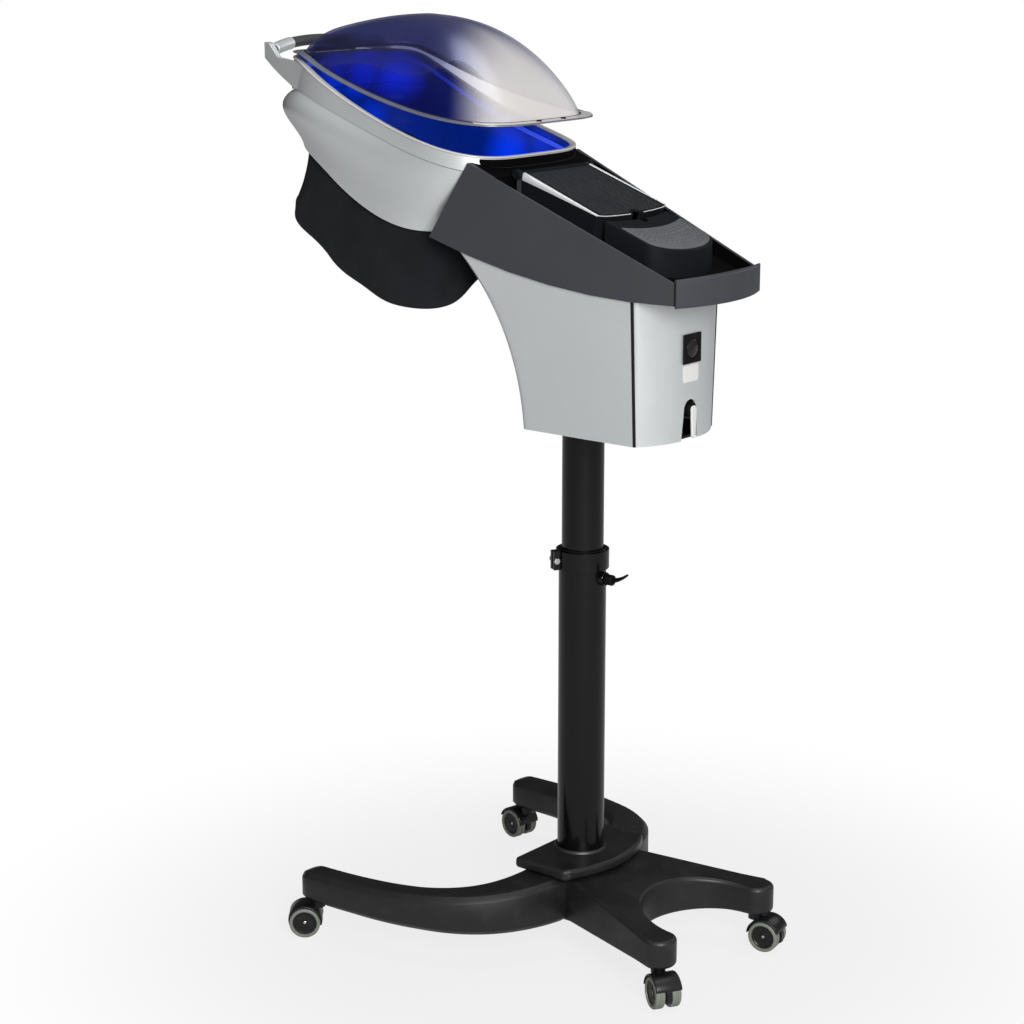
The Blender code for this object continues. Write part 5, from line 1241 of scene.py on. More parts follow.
@dataclass
class Deck:
    """Dark cowl with painted shade in its well, the rear lip, tank cover, plinth and keypad."""

    bulkhead: float = -0.072
    height: float = 0.349
    slope: float = 0.368
    back: float = 0.245
    wall: float = 0.004
    edge: float = 0.354
    edge_slope: float = 0.419
    film: float = 0.00015
    cover_half: float = 0.085
    cover_front: float = -0.056
    cover_back: float = 0.098
    cover_bow: float = 0.010
    cover_rise: float = 0.046
    cover_lean: float = 0.0135
    dot_pitch: float = 0.0034
    dot_foot: float = 0.00105
    dot_top: float = 0.00055
    dot_rise: float = 0.0007
    dot_edge: float = 0.009
    bar_wide: tuple[float, float] = (0.0070, 0.0012)
    bar_tall: tuple[float, float] = (0.0100, 0.0016)
    bar_crown: tuple[float, float] = (0.0012, 0.0006)
    bar_proud: float = 0.0022
    hinge: tuple[float, float] = (-0.0605, 0.38627)
    plinth_half: float = 0.078
    plinth_front: float = 0.096
    plinth_dip: float = 0.010
    plinth_back: float = 0.208
    plinth_bow: float = 0.040
    plinth_rise: float = 0.041
    notch: float = 0.0095
    key_rows: tuple[tuple[float, int], ...] = (
        (0.16, 15), (0.27, 17), (0.40, 15), (0.52, 16), (0.65, 13), (0.77, 12), (0.89, 9))
    key_thick: float = 0.0004
    pad_half: float = 0.0740
    pad_front: float = 0.124
    pad_back: float = 0.2035
    pad_bow: float = 0.036
    pad_dip: float = 0.013
    lip_top: float = 0.258
    lip_foot: float = 0.216
    lip_bulge: float = 0.026
    lip_hollow: float = 0.015

    def level(self, y: float) -> float:
        """Height of the sloping deck."""
        return self.height - self.slope * (y - self.bulkhead)

    def brink(self, y: float) -> float:
        """Upper edge of the cowl's walls."""
        return self.edge - self.edge_slope * y

    def inside(self, y: float) -> float:
        """Half width between the cowl's walls."""
        return Housing.cowl_half(y) - self.wall

    def outline(self, half: float, front: float, back: float, bow: float, dip: float = 0.0,
                bite: float = 0.0) -> Plan:
        """Outline on the deck with an arched rear edge.

        Args:
            half: half width.
            front: front edge at the sides.
            back: rear edge in the middle.
            bow: depth of the rear arc.
            dip: how far the middle of the front edge lies rearwards.
            bite: radius of a finger notch in the front edge.

        Returns:
            Points of the outline.
        """
        points = []
        for t in shares(80):
            x = mix(-half, half, t)
            y = front + dip * (1 - (x / half) ** 2)
            points.append((x, y + math.sqrt(max(0.0, bite * bite - x * x))))
        points += [(half, mix(front, back - bow, i / 8)) for i in range(1, 8)]
        points += [(half * math.cos(a), back - bow + bow * math.sin(a))
                   for a in (math.pi * i / 60 for i in range(61))]
        return points + [(-half, mix(back - bow, front, i / 8)) for i in range(1, 8)]

    def ring(self, plan: Plan, lift: float, share: float = 1.0, centre: float = 0.0) -> Ring:
        """A plan on the deck, drawn in towards a centre on its middle line."""
        shrunk = [(mix(0.0, x, share), mix(centre, y, share)) for x, y in plan]
        return [Vector((x, y, self.level(y) + lift)) for x, y in shrunk]

    def well(self) -> None:
        """Black film inside the cowl that paints the shade of the well: its floor round the cover, both walls
        and the bulkhead.
        """
        # painted shade: a near-black film laid where the well lies in shadow
        solid = Solid("well_paint", HEAD)
        film, margin, least = self.film, 0.001, 1e-6
        middle = (self.cover_front + self.cover_back) / 2
        rear, front = self.back - margin - middle, self.bulkhead + margin - middle
        side = self.inside(middle) - film
        rings: list[Ring] = [[], [], [], []]
        count = 96
        for i in range(count):
            a = math.tau * (i + 0.5) / count
            c, s = math.cos(a), math.sin(a)
            out = (rear if s > 0 else front) / s
            spread = abs(c) + COWL_TAPER * s
            if spread > 0:
                out = min(out, side / spread)
            near = min((self.cover_half - 0.006) / max(abs(c), least), 0.066 / max(abs(s), least))
            for ring, r, lift in zip(rings, (near, near, out, out), (0.0, film, film, 0.0)):
                y = middle + s * r
                ring.append(Vector((c * r, y, self.level(y) + lift)))
        solid.loft(rings, wrap=True)
        for hand in Hand:
            rows = []
            for t in shares(12):
                y = mix(self.bulkhead + film, self.back - SEAT, t)
                x, low, high = self.inside(y), self.level(y), self.brink(y) - 0.0016
                rows.append([Vector((hand.value * (x + a), y, z)) for a, z in (
                    (-film, low), (0, low), (0, high), (-film, high))])
            solid.loft(rows)
        half = self.inside(self.bulkhead)
        low, high = self.level(self.bulkhead), self.brink(self.bulkhead)
        solid.box((2 * half, film, high - low), (0, self.bulkhead + film / 2, (low + high) / 2))
        solid.done(PAINTED_SHADE, "head", sharp=60)

    def leaned(self, point: Vector) -> Vector:
        """Lean the cover's rear wall in at its foot, so that it swings clear of the plinth.

        Args:
            point: a point of the node.

        Returns:
            Where the point goes.
        """
        x, y, z = HEAD.inverted() @ point
        height = z - self.level(y)
        if y > self.cover_back - 2 * self.cover_bow:
            y -= self.cover_lean * max(0, 1 - height / self.cover_rise)
        return HEAD @ Vector((x, y, self.level(y) + height))

    def cover(self) -> None:
        """Tank cover with a dotted top, bright tapered bars and round hinge knuckles."""
        recast("tank_cover", COVER, 0.0010, 3, 40, self.leaned)
        self.dots()
        self.bars()
        y, z = self.hinge
        for hand in Hand:
            turn = Matrix.Rotation(hand.value * math.pi / 2, 4, "Y")
            place = HEAD @ Matrix.Translation((0, y, z)) @ turn
            near = self.cover_half + 0.0004
            profile = [(0, near), (0.0074, near), (0.0080, near + 0.0008), (0.0080, near + 0.0062),
                       (0.0074, near + 0.0072), (0.0050, near + 0.0076), (0.0046, near + 0.0070),
                       (0, near + 0.0070)]
            Solid(f"cover_knuckle_{hand.word}").lathe(profile, place, 48).done(COVER, "head", sharp=40)

    def dots(self) -> None:
        """Grid of small raised dots on the cover."""
        solid = Solid("cover_dots", HEAD)
        pitch = self.dot_pitch
        reach = self.cover_half - self.dot_edge
        last = self.cover_back - self.cover_bow - 0.004
        count = int(2 * reach / pitch)
        for row in range(int((self.cover_back - self.cover_front) / pitch)):
            y = self.cover_front + 0.008 + row * pitch
            for i in range(count + 1):
                x = (i - count / 2) * pitch + (pitch / 2 if row % 2 else 0)
                rear = last + self.cover_bow * math.sqrt(max(0, 1 - (x / self.cover_half) ** 2))
                if abs(x) > reach or y > rear or math.hypot(x, y - self.cover_back) < 0.0125:
                    continue
                base = self.level(y) + self.cover_rise - 0.0002
                solid.loft([[Vector((x + r * math.cos(a), y + r * math.sin(a),
                                     base + lift - self.slope * r * math.sin(a))) for a in turns(6)]
                            for r, lift in ((self.dot_foot, 0.0), (self.dot_top, self.dot_rise))])
        solid.done(DOT, "cover", sharp=80)

    def bars(self) -> None:
        """Bright bars on the cover's sides, deep at the hinge, and a line round its rear edge."""
        solid = Solid("cover_trim_skin", HEAD)
        last = self.cover_back - self.cover_bow
        facets = 12
        for hand in Hand:
            rings = []
            for t in shares(32):
                y = mix(self.cover_front + 0.0035, last, t)
                wide, crown = mix(*self.bar_wide, t), mix(*self.bar_crown, t)
                tall = mix(*self.bar_tall, t ** 0.85)
                points = [(-wide, -0.0002)]
                for k in range(facets + 1):
                    a = math.pi * k / facets
                    rise = crown * math.sin(a) if a < math.pi / 2 else mix(crown, -tall, 1 - math.sin(a))
                    points.append((mix(-wide, self.bar_proud, (1 - math.cos(a)) / 2), rise))
                points.append((0.0001, -tall))
                top = self.level(y) + self.cover_rise
                rings.append([Vector((hand.value * (self.cover_half + out), y, top + rise))
                              for out, rise in points])
            solid.loft(rings)
        arch = [(self.cover_half * math.cos(a), last + self.cover_bow * math.sin(a))
                for a in (math.pi * i / 48 for i in range(49))]
        for part in (arch[:22], arch[27:]):
            line = [Vector((x, y, self.level(y) + self.cover_rise - 0.0004)) for x, y in part]
            solid.tube(line, 0.0008, 10)
        solid.done(BRIGHT, "cover", ("cover_trim",), sharp=50)

    def plinth(self) -> None:
        """Block with a hollow front, a finger notch and a round rear end, and the crescent keypad on it."""
        plan = self.outline(self.plinth_half, self.plinth_front, self.plinth_back, self.plinth_bow,
                            self.plinth_dip, self.notch)
        centre = mix(self.plinth_front, self.plinth_back, 0.62)
        top = self.plinth_rise
        rings = [self.ring(plan, lift, share, centre) for lift, share in (
            (0.004, 0.95), (SEAT, 0.955), (SEAT, 1), (top - 0.0018, 1), (top - 0.0006, 0.995), (top, 0.984),
            (top, 0.5), (top, 0.02))]
        Solid("control_plinth_skin", HEAD).loft(rings).done(COVER, "head", ("control_plinth",), sharp=45)
        plan = self.outline(self.pad_half, self.pad_front, self.pad_back, self.pad_bow, self.pad_dip)
        centre = mix(self.pad_front, self.pad_back, 0.6)
        rings = [self.ring(plan, top + lift, share, centre) for lift, share in (
            (SEAT, 1), (0.0013, 1), (0.0018, 0.988))]
        Solid("keypad_skin", HEAD).loft(rings).done(FILM, "head", ("keypad",), sharp=40)
        self.keys(top + 0.0018)

    def keys(self, lift: float) -> None:
        """Plain marks on the film: rows of short bars that follow its arc, some with a pale lamp beside them.

        Args:
            lift: height of the film above the deck.
        """
        dark, pale = Solid("keypad_marks", HEAD), Solid("keypad_lamps", HEAD)
        lean = (-math.atan(self.slope), 0, 0)
        for row, (share, count) in enumerate(self.key_rows):
            for i in range(count):
                u = mix(-0.90, 0.90, i / (count - 1))
                wave = noise.noise(Vector((row * 3.7, i * 1.9, 0.4)))
                if wave > 0.34:
                    continue
                x = u * self.pad_half * (1 - 0.16 * share ** 3)
                front = self.pad_front + self.pad_dip * (1 - u * u)
                back = self.pad_back - self.pad_bow * (1 - math.sqrt(1 - u * u))
                y = mix(front, back, share)
                wide, deep = (0.0046, 0.0016) if (i + row) % 3 else (0.0018, 0.0042)
                dark.box((wide * (1 + wave), deep, self.key_thick), (x, y, self.level(y) + lift), lean)
                if row % 3 == 1 and i % 2:
                    y += 0.0032
                    pale.box((0.0013, 0.0013, self.key_thick), (x, y, self.level(y) + lift), lean)
        dark.done(MARK, "head", bevel=0.00015, segments=1)
        pale.done(PALE_MARK, "head", bevel=0.00015, segments=1)

    def lip(self) -> None:
        """Level lip across the rear of the cowl, hollow towards the plinth, with dark joints at its ends."""
        half = Housing.cowl_half(self.back)
        rings = []
        for t in shares(64):
            x = mix(-half, half, t)
            round_off = 1 - (x / half) ** 2
            front = self.back + SEAT
            back = front + 0.003 + self.lip_bulge * round_off
            foot, top = self.lip_foot, self.lip_top + 0.001 * round_off
            soft = min(0.0026, (back - front) * 0.45)
            brow = front + self.lip_hollow * round_off
            ring = [Vector((x, front, foot))]
            for cy, cz, start in ((back - soft, foot + soft, -90), (back - soft, top - soft, 0)):
                ring += [Vector((x, y, z)) for y, z in arc(cy, cz, soft, start, start + 90, 6)]
            ring += [Vector((x, brow + 0.0004, top)), Vector((x, brow, top - 0.0006)),
                     Vector((x, mix(front, brow, 0.4), top - 0.018)), Vector((x, front, top - 0.026))]
            rings.append(ring)
        Solid("rear_grip_skin", HEAD).loft(rings).done(SLATE, "head", ("rear_grip",), sharp=50)
        low, high = Housing.cowl_low(self.back) + 0.0004, self.brink(self.back) + 0.004
        for hand in Hand:
            spot = (hand.value * (half - 0.0008), self.back + 0.0004, (low + high) / 2)
            joint = Solid(f"lip_joint_{hand.word}", HEAD).box((0.0024, 0.0034, high - low), spot)
            joint.done(SEAL, "head", bevel=0.0003, segments=2)

    def build(self) -> None:
        """Make every piece of the deck."""
        recast("cowl", SLATE, 0.0012, 3, 40)
        self.well()
        self.lip()
        self.cover()
        self.plinth()
        recast("water_tank", WHITE, 0.0006, 2)
        recast("cover_hinge_pin", STEEL, 0.0003, 2)
        for node, finish in (("control_board", BOARD), ("boiler", STEEL), ("steam_duct", BLACK),
                             ("steam_nozzle", WHITE)):
            recast(node, finish, 0.0004, 2, 40)


# Hood, lid and curtain

@dataclass
class Hood:
    """Hood: band with handle arms, shell, lining with a painted glow, rim and the front grip."""

    points: int = 176
    centre: float = -0.300
    half_width: float = 0.155
    half_length: float = 0.208
    square: float = 4.2
    bulge: float = 0.036
    mouth_centre: float = -0.345
    mouth_width: float = 0.137
    mouth_length: float = 0.155
    mouth_level: float = 0.290
    mouth_flat: float = -0.200
    mouth_radius: float = 0.2737
    mouth_front: float = -0.400
    mouth_ease: float = 0.090
    rim_rear: tuple[float, float] = (-0.103, 0.408)
    rim_slope: float = 0.167
    rim_curve: float = 0.584
    rim_level: float = -0.440
    rim_ease: float = 0.025
    band: float = 0.022
    band_flat: float = -0.260
    band_growth: float = 0.5
    flare: float = 0.004
    step: float = 0.0015
    wall: float = 0.003
    liner_gap: float = 0.0007
    liner_wall: float = 0.002
    liner_lift: float = 0.004
    grip_ahead: float = -0.532
    grip_height: float = 0.554
    grip_half: float = 0.120
    grip_bow: float = 0.024
    grip_crown: float = 0.010
    grip_radius: float = 0.0095
    arm_root: float = 0.50
    arm_leave: float = 0.46
    arm_inlet: float = 0.001
    arm_wide: float = 0.012
    arm_depth: float = 0.024
    hinge_half: float = 0.045
    hinge_ahead: float = 0.008
    hinge_radius: float = 0.0045
    lid_seat: float = 0.00755
    lug_gap: float = 0.0005
    lug_half: float = 0.0025
    groove: float = 0.0010
    collar: float = -0.112
    collar_fade: tuple[float, float] = (0.122, 0.108)
    neck_half: float = 0.128
    sleeve: int = 12
    rows: int = 14

    @property
    def courses(self) -> list[float]:
        """Shares of the way from the foot of the band to the mouth."""
        return shares(self.rows)

    @property
    def liner_inset(self) -> float:
        """How far the lining lies inside the band."""
        return self.step + self.wall + self.liner_gap

    def plan(self, centre: float, half_width: float, half_length: float, inset: float = 0.0,
             full: float = 0.0) -> Plan:
        """Plan of the hood, a rounded rectangle; the fullness swells it towards the front.

        Args:
            centre: middle of the plan along Y.
            half_width: half size along X.
            half_length: half size along Y.
            inset: how far it is drawn in.
            full: how far it swells at the front.

        Returns:
            Points of the plan.
        """
        points = []
        for i in range(self.points):
            a = math.tau * (i + 0.5) / self.points - math.pi / 2
            c, s = math.cos(a), math.sin(a)
            reach = squircle(c, s, self.square)
            out = full * (1 - s) / 2 - inset
            points.append(((half_width + out) * c * reach, centre + (half_length + out) * s * reach))
        return points

    @staticmethod
    def levelled(y: float, start: float, ease: float) -> float:
        """A place that comes to rest softly once it is past a start, counted forwards."""
        return y if y > start else start - ease * (1 - math.exp((y - start) / ease))

    def rim_height(self, y: float) -> float:
        """Side profile of the rim."""
        s = self.levelled(y, self.rim_level, self.rim_ease) - self.rim_rear[0]
        return self.rim_rear[1] - self.rim_slope * s + self.rim_curve * s * s

    def band_foot(self, y: float) -> float:
        """Lower edge of the band."""
        return self.rim_height(y) - self.band - self.band_growth * min(0, y - self.band_flat) ** 2

    def mouth_height(self, y: float) -> float:
        """Lower edge of the hood."""
        ahead = min(0, self.levelled(y, self.mouth_front, self.mouth_ease) - self.mouth_flat)
        return self.mouth_level + ahead ** 2 / (2 * self.mouth_radius)

    def hinge(self) -> tuple[float, float]:
        """Axis of the lid's hinge: place and height."""
        y = self.centre - self.half_length - self.hinge_ahead
        return y, self.rim_height(y) + self.lid_seat

    def rim(self, inset: float = 0.0, lift: float = 0.0) -> Ring:
        """A ring that follows the rim.

        Args:
            inset: how far it is drawn in.
            lift: how far it lies above the rim.

        Returns:
            Points of the ring.
        """
        plan = self.plan(self.centre, self.half_width, self.half_length, inset)
        edge = self.plan(self.centre, self.half_width, self.half_length)
        return [Vector((x, y, self.rim_height(level) + lift)) for (x, y), (_, level) in zip(plan, edge)]

    def course(self, t: float, inset: float = 0.0, gap: float = 0.0) -> Ring:
        """A ring between the foot of the band and the mouth.

        Args:
            t: share of the way down.
            inset: how far it is drawn in.
            gap: how far it starts below the band.

        Returns:
            Points of the ring.
        """
        full = self.flare * (1 - t) + self.bulge * 4 * t * (1 - t) ** 2
        band = (self.centre, self.half_width, self.half_length)
        mouth = (self.mouth_centre, self.mouth_width, self.mouth_length)
        plan = self.plan(*(mix(a, b, t) for a, b in zip(band, mouth)), inset, full)
        high = [self.band_foot(y) - gap for _, y in self.plan(*band)]
        low = [self.mouth_height(y) for _, y in self.plan(*mouth)]
        return [Vector((x, y, mix(a, b, t))) for (x, y), a, b in zip(plan, high, low)]

    def upper(self) -> None:
        """Band with the lugs of the lid's hinge, and the dark strip behind the groove under it."""
        pairs = list(zip(self.rim(), self.course(0)))
        rings = [[a.lerp(b, t) for a, b in pairs] for t in (0, 0.06, 0.3, 0.6, 0.94, 1)]
        rings += [self.course(0, self.wall), self.rim(self.wall)]
        solid = Solid("hood_band_skin", HEAD).loft(rings, wrap=True)
        self.lugs(solid)
        solid.done(SILVER, "head", ("hood_band",), sharp=40)
        near, far = 0.0033, 0.0043
        strip = [self.course(0, depth, drop) for depth, drop in (
            (near, -0.004), (near, 0.003), (far, 0.003), (far, -0.004))]
        Solid("groove_strip", HEAD).loft(strip, wrap=True).done(SEAL, "head", sharp=60)

    def lower(self) -> None:
        """Shell, and the lining inside it, with painted light glowing on it."""
        outside = [self.course(t, self.step, self.groove) for t in self.courses]
        inside = [self.course(t, self.step + self.wall, self.groove) for t in reversed(self.courses)]
        shell = Solid("hood_shell_skin", HEAD).loft(outside + inside, wrap=True)
        shell.done(SILVER, "head", ("hood_shell",), sharp=40)
        rows = []
        for depth in (self.liner_inset, self.liner_inset + self.liner_wall):
            wall = [self.rim(depth, -SEAT)] + [self.course(t, depth) for t in self.courses[:-1]]
            wall.append([p + Vector((0, 0, self.liner_lift)) for p in self.course(1, depth)])
            rows.append(wall)
        # the lining's finish paints the lamps' light on it as emission
        liner = Solid("hood_liner_skin", HEAD).loft(rows[0] + rows[1][::-1], wrap=True)
        liner.done(LINER, "head", ("hood_liner",), sharp=50)

    def bead(self, node: str, inset: float, lift: float, size: tuple[float, float], finish: Finish) -> None:
        """A strip of oval section that follows the rim.

        Args:
            node: the node that it stands for.
            inset: how far its middle lies inside the rim.
            lift: how far its middle lies above the rim.
            size: half width and half height.
            finish: its material.
        """
        rings = []
        for a in turns(14):
            c, s = math.cos(a), math.sin(a)
            flat = squircle(c, s, 3)
            rings.append(self.rim(inset - size[0] * c * flat, lift + size[1] * s * flat))
        Solid(node + "_skin", HEAD).loft(rings, wrap=True).done(finish, "head", (node,), sharp=60)

    def trims(self) -> None:
        """Rim bead, and the lamp strip under it."""
        self.bead("rim_trim", 0.0030, 0.0018, (0.0045, 0.0018), RIM)
        inset = self.liner_inset + self.liner_wall + SEAT + 0.002
        self.bead("light_strip", inset, -0.0135, (0.002, 0.0035), LAMP)

    def half_at(self, y: float) -> float:
        """Half width of the rim's plan at one place."""
        share = abs(y - self.centre) / self.half_length
        return self.half_width * (1 - share ** self.square) ** (1 / self.square)

    def rear_at(self, x: float) -> float:
        """Rear end of the rim's plan at one half width."""
        share = min(1, abs(x) / self.half_width)
        return self.centre + self.half_length * (1 - share ** self.square) ** (1 / self.square)

    def arm(self, hand: Hand) -> None:
        """Handle arm: the band's side carried straight on, then turned up to the end of the grip.

        Args:
            hand: side of the hood.
        """
        nose = self.centre - self.half_length
        root = self.centre - self.half_length * self.arm_root
        tip = self.grip_ahead - self.grip_radius
        side = self.half_at(root) - self.wall / 3
        deep = self.arm_depth / 2
        rings = []
        for t in shares(40):
            y = mix(root, tip, t)
            outer = mix(side, self.grip_half + self.arm_wide, t)
            inner = mix(side - self.wall / 6, self.grip_half, t)
            if y > nose:
                inner = max(inner, self.half_at(y) - self.wall / 2)
            outer = max(outer, inner + self.wall / 6)
            leave, rise = ramp(t, self.arm_leave, 1), ramp(y, nose, self.grip_ahead)
            low = mix(self.band_foot(y) + self.arm_inlet, self.grip_height - deep, leave)
            high = mix(self.rim_height(y) - self.arm_inlet, self.grip_height + deep, rise)
            lean = self.flare * (1 - t) / 2
            rings.append([Vector((hand.value * x, y, z)) for x, z in (
                (inner, low), (outer + lean, low), (outer, high), (inner, high))])
        solid = Solid(f"handle_arm_{hand.word}", HEAD).loft(rings)
        solid.done(SILVER, "head", bevel=0.0014, segments=3, sharp=40)

    def lugs(self, solid: Solid) -> None:
        """Round-headed lugs of the lid's hinge on the front of the band.

        Args:
            solid: the band, which they are added to.
        """
        y, z = self.hinge()
        nose = self.centre - self.half_length
        low = self.rim_height(nose) - self.band - z
        back = nose + self.wall * 0.85
        high = self.rim_height(back) - self.wall - z
        radius = self.hinge_radius
        outline = [(-radius, low), (back - y, low), (back - y, high), (radius, high)]
        outline += arc(0, 0, radius, 0, 180, 20)
        stand = Matrix.Rotation(math.pi / 2, 4, "Z") @ Matrix.Rotation(math.pi / 2, 4, "X")
        for hand in Hand:
            x = hand.value * (self.hinge_half + self.lug_gap + self.lug_half)
            solid.plate(outline, -self.lug_half, self.lug_half, Matrix.Translation((x, y, z)) @ stand)

    def neck(self) -> None:
        """Painted shade: a black collar over the rear of the band where it runs under the cowl, and a black
        film on top of the neck behind it.
        """
        plan = self.plan(self.centre, self.half_width, self.half_length, -0.0007, self.flare / 2)
        inner = self.plan(self.centre, self.half_width, self.half_length, 0.0010)
        rings = []
        for (x, y), (a, b) in reversed(list(zip(plan, inner))):
            if y > self.collar:
                top = self.rim_height(y) - 0.0010
                low = mix(top - 0.001, self.band_foot(y) - 0.002, ramp(abs(x), *self.collar_fade))
                rings.append([Vector(p) for p in ((x, y, low), (x, y, top), (a, b, top), (a, b, low))])
        # painted shade: black collar where the band runs into the cowl
        Solid("neck_collar", HEAD).loft(rings).done(PAINTED_SHADE, "head", sharp=60)
        brow = Deck()
        rings = []
        for t in shares(48):
            x = mix(-self.neck_half, self.neck_half, t)
            edge = self.rear_at(x)
            front, back = edge + 0.0016, max(brow.bulkhead, edge + 0.0026)
            rings.append([Vector((x, y, brow.brink(y) + lift)) for y, lift in (
                (front, 0.0), (back, 0.0), (back, brow.film), (front, brow.film))])
        # painted shade: black film in the recess behind the rim
        Solid("neck_paint", HEAD).loft(rings).done(PAINTED_SHADE, "head", sharp=60)

    def grip(self) -> None:
        """Bowed grip: dark bar and a bright sleeve at each end."""
        half = self.grip_half - SEAT
        path = []
        for t in shares(48):
            x = mix(-half, half, t)
            bow = 1 - (x / half) ** 2
            y = self.grip_ahead - self.grip_bow * bow
            path.append(Vector((x, y, self.grip_height + self.grip_crown * bow)))
        bar = Solid("handle_grip_skin", HEAD).tube(path, self.grip_radius - 0.0009, 32)
        bar.done(SLATE, "head", ("handle_grip",), 0.0012, 3)
        for hand in Hand:
            run = path[:self.sleeve] if hand is Hand.RIGHT else path[-self.sleeve:]
            sleeve = Solid(f"grip_sleeve_{hand.word}", HEAD).tube(run, self.grip_radius + 0.0003, 32)
            sleeve.done(SILVER, "head", bevel=0.0008, segments=3)

    def build(self) -> None:
        """Make every piece of the hood."""
        self.upper()
        self.lower()
        self.trims()
        self.neck()
        for hand in Hand:
            self.arm(hand)
        self.grip()
        recast("dome_hinge_pin", STEEL, 0.0003, 2)


@dataclass
class Lid:
    """Clear domed lid with a grey edge, a dark seal, a silver tail, its hinge barrel and two screws."""

    hood: Hood
    flange: float = 0.014
    overhang: float = 0.002
    rear: float = 0.022
    wall: float = 0.0025
    gap: float = 0.0030
    rise: float = 0.120
    skew: float = 0.41
    shoulder: float = 0.80
    ajar: float = 6.1
    trim: float = 0.003
    tail: float = 0.028
    tail_thick: float = 0.0007
    screw_half: float = 0.03
    screw_inset: float = 0.008
    screw_radius: float = 0.0046
    rings: int = 36

    @property
    def foot(self) -> float:
        """Underside of the edge, above the closed rim."""
        return SEAT + self.trim + self.gap

    @property
    def top(self) -> float:
        """Upper face of the edge, above the closed rim."""
        return self.foot + self.wall

    @property
    def width(self) -> float:
        """Half width of the edge."""
        return self.hood.half_width + self.overhang

    @property
    def base(self) -> float:
        """Share of the edge's width that the dome takes up."""
        return 1 - self.flange / self.width

    def place(self) -> Matrix:
        """Turn from the closed lid to the lid as it stands.

        Returns:
            The turn about the hinge, in the frame of the object.
        """
        y, z = self.hood.hinge()
        pin = Matrix.Translation((0, y, z))
        return HEAD @ pin @ Matrix.Rotation(math.radians(self.ajar), 4, "X") @ pin.inverted()

    def ring(self, share: float, lift: float, rise: float = 0.0) -> Ring:
        """A course of the lid: its plan shrunk to a share, above the closed rim.

        Args:
            share: size of the course.
            lift: height above the rim.
            rise: height of the dome, more at the rear and less at the front.

        Returns:
            Points of the course.
        """
        hood = self.hood
        centre = hood.centre + (self.rear - self.overhang) / 2
        length = hood.half_length + (self.rear + self.overhang) / 2
        plan = [(x * share, centre + (y - centre) * share) for x, y in hood.plan(centre, self.width, length)]
        return [Vector((x, y, hood.rim_height(y) + lift + rise * (1 + self.skew * (y - centre) / length)))
                for x, y in plan]

    def dome(self) -> None:
        """Clear double skin."""
        outside, inside = [], []
        for i in range(self.rings + 1):
            s = mix(0.02, 1, math.sin(math.pi / 2 * i / self.rings))
            rise = self.rise * max(0, 1 - s * s) ** self.shoulder
            outside.append(self.ring(self.base * s, self.top, rise))
            inside.append(self.ring((self.base - self.wall / self.width) * s, self.foot, rise))
        Solid("dome_skin", self.place()).loft(outside + inside[::-1]).done(LID, "lid", ("dome",), sharp=60)

    def border(self) -> None:
        """Edge round the dome, the seal along its foot and the silver tail on the rear."""
        base, top, foot = self.base, self.top, self.foot
        edge = [self.ring(share, lift) for share, lift in (
            (base + 0.004, top), (0.992, top), (1.0, top - 0.0006), (1.0, foot), (base - 0.002, foot),
            (base - 0.002, top - 0.0003))]
        Solid("lid_edge", self.place()).loft(edge, wrap=True).done(EDGE, "lid", sharp=50)
        seal = [self.ring(base + a, top + b) for a, b in (
            (0.004, 0), (0.012, 0), (0.012, 0.0008), (0.006, 0.0012), (0.004, 0.0008))]
        Solid("lid_seal", self.place()).loft(seal, wrap=True).done(SEAL, "lid", sharp=50)
        start = self.hood.centre + self.hood.half_length - self.tail
        lift = Vector((0, 0, self.tail_thick))
        pairs = zip(self.ring(base + 0.014, top), self.ring(0.998, top))
        tail = [[inner, outer, outer + lift, inner + lift] for inner, outer in pairs if outer.y > start]
        Solid("lid_tail", self.place()).loft(tail[::-1]).done(TAIL, "lid", sharp=50)

    def build(self) -> None:
        """Make every piece of the lid."""
        self.dome()
        self.border()
        self.barrel()
        self.screws()

    def barrel(self) -> None:
        """Hinge barrel and the leaf that joins it to the edge."""
        y, z = self.hood.hinge()
        roll = Matrix.Translation((0, y, z)) @ Matrix.Rotation(math.pi / 2, 4, "Y")
        half = self.hood.hinge_half
        end = [(0.0023, half), (0.0040, half), (0.0045, half - 0.0005)]
        profile = end + [(r, -x) for r, x in reversed(end)]
        solid = Solid("lid_barrel", self.place()).lathe(profile, roll, 40, True)
        reach = self.hood.hinge_ahead + self.flange / 2
        rise = self.hood.rim_height(y + reach) - self.hood.rim_height(y)
        tilt = math.atan2(rise, reach)
        leaf = (half * 2, reach / math.cos(tilt), self.wall)
        solid.box(leaf, (0, y + reach / 2, z + rise / 2), (tilt, 0, 0)).done(EDGE, "lid", sharp=40)

    def screws(self) -> None:
        """Two dark screws on the rear tail of the edge."""
        place = self.place()
        facing = place.to_3x3() @ Vector((0, 0, 1))
        y = self.hood.centre + self.hood.half_length + self.rear - self.screw_inset
        z = self.hood.rim_height(y) + (self.top + self.tail_thick)
        for i, x in enumerate((-self.screw_half, self.screw_half)):
            screw(f"lid_screw_{i}", place @ Vector((x, y, z)), facing, self.screw_radius, BLACK, "lid")


